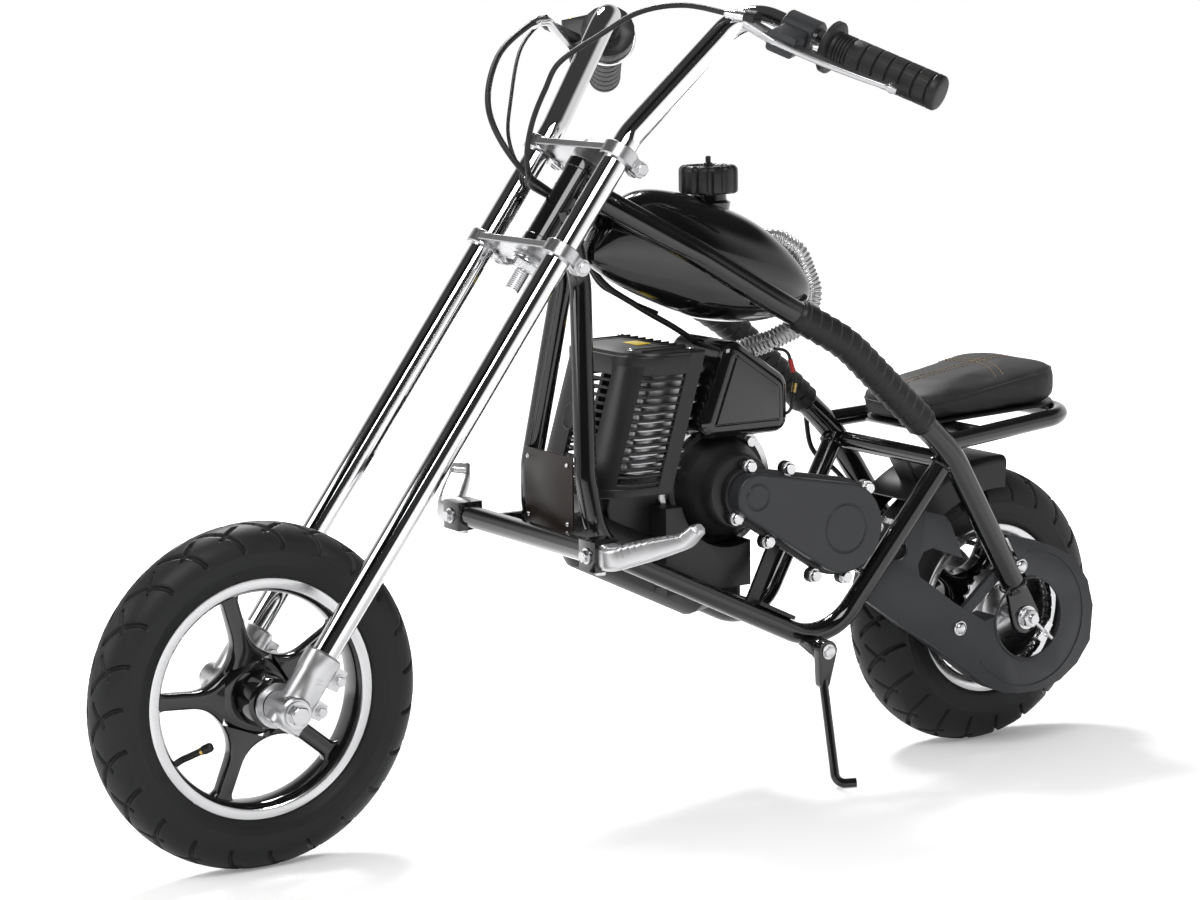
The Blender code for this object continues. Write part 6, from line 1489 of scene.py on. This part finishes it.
def cover_arc(radius, first, last, thick):
    """A bead on the cover's face, on an arc about the rear axle between two angles."""
    arc = np.radians(np.linspace(first, last, 120))
    x, z = radius * np.cos(arc), REAR_AXLE_Z + radius * np.sin(arc)
    return pipe(np.column_stack([x, cover_face(x) + 0.0001, z]), thick, 10)


piece("cover_ring", joined(cover_arc(0.0700, 88, 328, 0.0007), cover_arc(0.0425, -100, 100, 0.0013)),
      "dark_grey_plastic", "frame")
cover_screws = []
for x, z in ((0.0818, 0.1431), (0.0119, 0.2004)):
    base = np.array([x, float(cover_face(x)), z])
    cover_screws.append(lathe([(-0.001, 0.0078), (0.0010, 0.0078), (0.0016, 0.0070)], base, ACROSS, 32))
    cover_screws.append(screw(base + ACROSS * 0.0014, ACROSS, 0.0062, 0.0036))
piece("cover_screws", joined(*cover_screws), "zinc_plated_steel", "frame")

axle_shapes = [lathe([(-0.108, 0.0050), (0.108, 0.0050)], REAR_AXLE, ACROSS, 24)]
for side in (1, -1):
    near = REAR_AXLE + ACROSS * side * 0.0938
    axle_shapes.append(lathe([(0, 0.0120), (0.0018, 0.0120)], near, ACROSS * side, 40))
    axle_shapes.append(hexagon(near + ACROSS * side * 0.0018, ACROSS * side, 0.0098, 0.0078, 1.04))
pull = unit((-0.75, 0, -0.66))
pin = REAR_AXLE + ACROSS * 0.1015
axle_shapes.append(pipe([pin + pull * 0.008, pin + pull * 0.036], 0.0021, 16))
axle_shapes.append(hexagon(pin + pull * 0.0245, pull, 0.0042, 0.004, 1.1))
handle = np.cross(pull, ACROSS) * 0.011
middle = pin + pull * 0.024
axle_shapes.append(bar([middle - handle, middle + handle], 0.0075, 0.0022, 0.0007, ACROSS))
piece("rear_axle_bolt", joined(*axle_shapes), "zinc_plated_steel", "frame", ("rear_axle",))

# Grips and controls
GRIP_LENGTH = 0.112


def grip_frame(side):
    """The bar's end, the way back along the bar, the way ahead and the way up from them."""
    end, top = sided(BAR_END, side), sided(BAR_TOP, side)
    inward = unit(top - end)
    ahead = unit(np.array([1.0, 0, 0]) - inward * inward[0])
    return end, inward, ahead, unit(np.cross(ahead, inward) * side)


GRIP_BANDS = 6
GRIP_RINGS = 5


def grip_profile():
    """Rubber grip from its rounded end: broad bands, fine rings and the flange."""
    profile = [(-0.006, 0.003), (-0.006, 0.0125), (-0.0052, 0.0150), (-0.0035, 0.0165), (0.0015, 0.0168)]
    for band in range(GRIP_BANDS):
        low = 0.003 + band * 0.0138
        profile += [(low, 0.0156), (low + 0.0010, 0.0154), (low + 0.0016, 0.0166), (low + 0.0128, 0.0166)]
    for ring in range(GRIP_RINGS):
        low = 0.087 + ring * 0.0032
        profile += [(low, 0.0154), (low + 0.0008, 0.0154), (low + 0.0013, 0.0166), (low + 0.0026, 0.0166)]
    return profile + [(0.1045, 0.0170), (0.1055, 0.0235), (0.1065, 0.0248), (0.1105, 0.0248),
                      (0.1120, 0.0232), (0.1120, 0.0125)]


def grip_ribs(angle, row):
    """Fine lengthwise flats between the rings."""
    return 1 - 0.012 * (np.cos(18 * angle) > 0.55) * ((row > 4) & (row < 47))


for word, side in SIDES:
    end, inward, ahead, over = grip_frame(side)
    piece("grip_ribbed_" + word, lathe(grip_profile(), end, inward, 108, fluted=grip_ribs), "rubber",
          "steering", ("grip_" + word,), sharp=40.0)

BRAKE_POINTS = ((0.3823, 0.1350, 0.7627), (0.4050, 0.0860, 0.7718), (0.4344, 0.0550, 0.7660),
                (0.4664, 0.0360, 0.7455), (0.5053, 0.0280, 0.7216), (0.5202, 0.0250, 0.6963),
                (0.5318, 0.0220, 0.6691), (0.5345, 0.0150, 0.6414), (0.5265, 0.0030, 0.6180))
THROTTLE_POINTS = ((0.4092, -0.1560, 0.7590), (0.4342, -0.1500, 0.7509), (0.4781, -0.1300, 0.7262),
                   (0.5095, -0.1000, 0.6895), (0.5198, -0.0700, 0.6567), (0.5130, -0.0450, 0.6240))
SWITCH_POINTS = ((0.3890, -0.1750, 0.7470), (0.4040, -0.1740, 0.7532), (0.4463, -0.1450, 0.7285),
                 (0.4843, -0.1000, 0.6825), (0.5060, -0.0680, 0.6473), (0.5032, -0.0580, 0.6229))
ENGINE_POINTS = ((0.4670, -0.0400, 0.5880), (0.4500, -0.0380, 0.5580), (0.4310, -0.0280, 0.5110),
                 (0.3950, -0.0180, 0.4830), (0.3570, -0.0120, 0.4600), (0.3300, -0.0100, 0.4420))

end, inward, ahead, over = grip_frame(1)
perch = end + inward * (GRIP_LENGTH + 0.012)
middle = perch + inward * 0.017
pivot = middle + ahead * 0.034
clamp_ring = [(0, 0.0125), (0, 0.0165), (0.0015, 0.0178), (0.0325, 0.0178), (0.034, 0.0165), (0.034, 0.0125)]
perch_shapes = [
    lathe(clamp_ring, perch, inward, 48, looped=True),
    bar([middle + ahead * 0.012, pivot + ahead * 0.007], 0.028, 0.0205, 0.0035, over),
]
piece("lever_perch", joined(*perch_shapes), "dark_grey_plastic", "steering", ("brake_lever",))
reach = np.linspace(0, 1, 60)
blade_path = (pivot + inward * 0.020 - np.outer(reach, inward) * 0.137
              + np.outer(0.006 * np.sin(math.pi * reach) - 0.004 * reach**2, ahead))
blade_wide = 0.0068 * np.interp(reach, (0, 0.10, 0.25, 0.6, 0.93, 0.97, 1),
                                (0.9, 1.15, 1.0, 0.72, 0.62, 0.95, 0.7))
blade_high = 0.0030 * np.interp(reach, (0, 0.2, 0.93, 0.97, 1), (1.5, 1.1, 0.9, 1.5, 1.0))
ring = rounded(2, 2, 0.5, 4)
blade_rings = ring[None] * np.stack([blade_wide, blade_high], 1)[:, None]
cable_start = np.array(BRAKE_POINTS[0])
cable_way = unit(np.array(BRAKE_POINTS[1]) - cable_start)
holder = pivot + inward * 0.016
holder_end = pipe([holder, holder * 0.35 + cable_start * 0.65], 0.0066, 28)
piece("lever_blade", joined(grid(carried(blade_path, blade_rings, over)), holder_end), CLAMP_ALLOY,
      "steering")
barrel = [(-0.012, 0.0046), (-0.012, 0.0058), (-0.002, 0.0058), (-0.001, 0.0046), (0.008, 0.0042),
          (0.010, 0.0034)]
piece("cable_adjuster", lathe(barrel, cable_start, cable_way, 24), "zinc_plated_steel", "steering")
boot = [(-0.024, 0.0074), (-0.013, 0.0074), (-0.0118, 0.0062)]
piece("cable_boot", lathe(boot, cable_start, cable_way, 28), "rubber", "steering")
piece("lever_screw", screw(pivot + over * 0.0102, over, 0.0046, 0.0022), BRASS, "steering")

end, inward, ahead, over = grip_frame(-1)
drum = end + inward * (GRIP_LENGTH + 0.0003)
softened("throttle_housing", 0.0016)
collar = [(-0.0004, 0.0130), (-0.0004, 0.0262), (0.0006, 0.0285), (0.0052, 0.0285), (0.0062, 0.0275),
          (0.0062, 0.0130)]
piece("throttle_ring", lathe(collar, drum, inward, 72, looped=True), MACHINED, "steering")
box_middle = drum + inward * 0.013 + ahead * 0.027
button = box_middle - over * 0.020 + ahead * 0.006
piece("stop_button", lathe([(0, 0.0052), (0.004, 0.0052), (0.0052, 0.0040)], button, -over, 28), YELLOW,
      "steering")
throttle_start = np.array(THROTTLE_POINTS[0])
throttle_way = unit(np.array(THROTTLE_POINTS[1]) - throttle_start)
elbow = bent([box_middle + ahead * 0.010 + over * 0.010, throttle_start + over * 0.004,
              throttle_start + throttle_way * 0.014], 0.012)
elbow_end = lathe([(0, 0.0056), (0.006, 0.0056)], elbow[-1], throttle_way, 24)
piece("throttle_elbow", joined(pipe(even(elbow, 0.001), 0.0048, 24), elbow_end), MACHINED, "steering")

# Cables
WRAP_OUT = 0.0195
CALIPER_TURN = math.radians(58)
CALIPER_RADIUS = 0.0615
CALIPER_Y = -0.0555 - 0.024 * 0.36


def rear_brake_points():
    """Along the right main tube's outer side, then across its front and down into the caliper."""
    middle = even(main_path(-1), 0.004)
    count = len(middle)
    run = middle[int(0.10 * count):int(0.70 * count)] - ACROSS * WRAP_OUT
    turn = middle[int(0.70 * count):int(0.80 * count)]
    forward = unit(np.cross(turn[-1] - turn[0], ACROSS)) * WRAP_OUT
    out = np.array([math.cos(CALIPER_TURN), 0, math.sin(CALIPER_TURN)])
    caliper = REAR_AXLE + out * CALIPER_RADIUS + ACROSS * CALIPER_Y
    corner = (turn[0] + turn[-1]) / 2 - ACROSS * WRAP_OUT + forward
    return np.vstack([run[::6], [corner], [turn[-1] + forward], [caliper]])


def cable(name, points, radius, count, stands_for):
    """A covered cable from the bar to the frame, which bends between them as the bar turns."""
    made = mesh_object(name, pipe(flowing(points, count), radius, 20), FINISHES["rubber"], 60.0)
    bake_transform(made, "steering", "frame", start=tuple(leaned((0.52, 0, 0.715))), end=tuple(leaned((0.50, 0, 0.600))))
    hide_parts(*stands_for)


cable("brake_line", np.vstack([BRAKE_POINTS, [(0.5060, -0.0250, 0.6030)], rear_brake_points()]), 0.0026, 420,
      ("brake_cable", "rear_brake_cable"))
cable("throttle_line", np.vstack([THROTTLE_POINTS[:-1], [(0.5050, -0.0450, 0.6180)], ENGINE_POINTS]), 0.0030,
      200, ("throttle_cable", "engine_cable"))
switch_way = np.vstack([SWITCH_POINTS[:-1], [(0.5000, -0.0520, 0.6150)],
                        np.array(ENGINE_POINTS[:3]) - (0.0, 0.0085, 0.0),
                        [(0.400, -0.050, 0.492), (0.350, -0.052, 0.470)]])
cable("switch_line", switch_way, 0.0018, 160, ("switch_wire",))

# Floor, light and camera
FLOOR_HALF = 14.0
SHADE_RADIUS = 0.75
WHITE_RADIUS = 1.8
FLOOR_IN_GLOSS = 0.45
WHITE = (1, 1, 1, 1)


def studio():
    """A plain pale floor, white away from the bike, that keeps the bike's shadow near it."""
    mesh = bpy.data.meshes.new("floor")
    corners = [(a * FLOOR_HALF, b * FLOOR_HALF, 0) for a, b in ((-1, -1), (1, -1), (1, 1), (-1, 1))]
    mesh.from_pydata(corners, [], [(0, 1, 2, 3)])
    floor = bpy.data.objects.new("floor", mesh)
    scene.collection.objects.link(floor)
    made = bpy.data.materials.new("pale_floor")
    made.use_nodes = True
    tree = made.node_tree
    path = node(tree, "LightPath")
    gloss = maths(tree, "MULTIPLY", path.outputs["Is Glossy Ray"], FLOOR_IN_GLOSS)
    seen = maths(tree, "ADD", path.outputs["Is Camera Ray"], gloss)
    seen = maths(tree, "ADD", seen, path.outputs["Is Transmission Ray"], True)
    away = node(tree, "VectorMath", {0: node(tree, "TexCoord").outputs["Object"]}, operation="LENGTH")
    far = node(tree, "MapRange", {"Value": away.outputs["Value"], "From Min": SHADE_RADIUS,
                                  "From Max": WHITE_RADIUS},
               interpolation_type="SMOOTHSTEP")
    glow = node(tree, "MapRange", {"Value": far.outputs[0], "To Min": 0.20, "To Max": 1.0})
    for key, value in {"Base Color": (0.80, 0.80, 0.80, 1), "Roughness": 0.95, "Specular IOR Level": 0.0,
                       "Emission Color": WHITE,
                       "Emission Strength": maths(tree, "MULTIPLY", glow.outputs[0], seen)}.items():
        feed(tree, value, tree.nodes["Principled BSDF"].inputs[key])
    mesh.materials.append(made)


DARK_SIDE = (0.62, 0.78, 0.0)


def world_light(strength):
    """Soft light from all round. Seen directly it is white; in metal and gloss it is a white horizon under
    a dark ceiling, with a dark side behind the camera."""
    world = bpy.data.worlds.new("studio")
    world.use_nodes = True
    scene.world = world
    tree = world.node_tree
    lit = tree.nodes["Background"]
    lit.inputs["Color"].default_value = WHITE
    lit.inputs["Strength"].default_value = strength
    direction = node(tree, "TexCoord").outputs["Generated"]
    parts = node(tree, "SeparateXYZ", {0: direction})
    ceiling = node(tree, "MapRange", {"Value": parts.outputs["Z"], "From Min": 0.30, "From Max": 0.62,
                                      "To Min": 0.78, "To Max": 0.05}, interpolation_type="SMOOTHSTEP")
    turned = node(tree, "VectorMath", {0: direction, 1: tuple(unit(DARK_SIDE))}, operation="DOT_PRODUCT")
    behind = node(tree, "MapRange", {"Value": turned.outputs["Value"], "From Min": 0.35, "From Max": 0.75,
                                     "To Min": 1.0, "To Max": 0.04}, interpolation_type="SMOOTHSTEP")
    mirror = maths(tree, "MULTIPLY", ceiling.outputs[0], behind.outputs[0])
    shown = node(tree, "Background", {"Color": WHITE, "Strength": mirror})
    white = node(tree, "Background", {"Color": WHITE, "Strength": 1.0})
    path = node(tree, "LightPath")
    clear = maths(tree, "ADD", path.outputs["Is Glossy Ray"], path.outputs["Is Transmission Ray"], True)
    glossy = node(tree, "MixShader", {0: clear, 1: lit.outputs[0], 2: shown.outputs[0]})
    final = node(tree, "MixShader", {0: path.outputs["Is Camera Ray"], 1: glossy.outputs[0],
                                     2: white.outputs[0]})
    tree.links.new(final.outputs[0], tree.nodes["World Output"].inputs["Surface"])


def lamp(name, place, target, size, power):
    """A soft square lamp aimed at a place."""
    light = bpy.data.lights.new(name, "AREA")
    light.energy = power
    light.size = size
    made = bpy.data.objects.new(name, light)
    made.location = place
    made.rotation_euler = (Vector(target) - Vector(place)).to_track_quat("-Z", "Y").to_euler()
    scene.collection.objects.link(made)


CAMERA_PLACE = (1.9797, 2.5401, 0.5974)
CAMERA_YAW = math.radians(-121.3503)
CAMERA_PITCH = math.radians(4.8482)
CAMERA_ROLL = math.radians(3.4802)
CAMERA_LENS = 92.125
SENSOR_WIDTH = 36.0


def photo_camera():
    """The camera as it stood before the leaning bike, turned by yaw, pitch and roll."""
    ahead = np.array([
        math.cos(CAMERA_PITCH) * math.cos(CAMERA_YAW),
        math.cos(CAMERA_PITCH) * math.sin(CAMERA_YAW),
        -math.sin(CAMERA_PITCH),
    ])
    right = np.cross(ahead, (0, 0, 1))
    right /= np.linalg.norm(right)
    down = np.cross(ahead, right)
    rolled_right = math.cos(CAMERA_ROLL) * right + math.sin(CAMERA_ROLL) * down
    rolled_down = -math.sin(CAMERA_ROLL) * right + math.cos(CAMERA_ROLL) * down
    turn = np.eye(4)
    turn[:3, 0] = rolled_right
    turn[:3, 1] = -rolled_down
    turn[:3, 2] = -ahead
    turn[:3, 3] = np.array(CAMERA_PLACE) + SHIFT
    lens = bpy.data.cameras.new("photo_camera")
    lens.lens = CAMERA_LENS
    lens.sensor_width = SENSOR_WIDTH
    made = bpy.data.objects.new("photo_camera", lens)
    scene.collection.objects.link(made)
    made.matrix_world = Matrix(turn.tolist())
    scene.camera = made


studio()
world_light(strength=0.55)
lamp("key", (1.2, 2.2, 2.6), (0, 0, 0.35), 1.6, 60)
lamp("fill", (2.6, -0.6, 1.6), (0, 0, 0.35), 1.6, 25)
lamp("rim", (-0.5, -1.5, 2.6), (0, 0, 0.4), 0.7, 75)
photo_camera()
scene.view_settings.view_transform = "Standard"
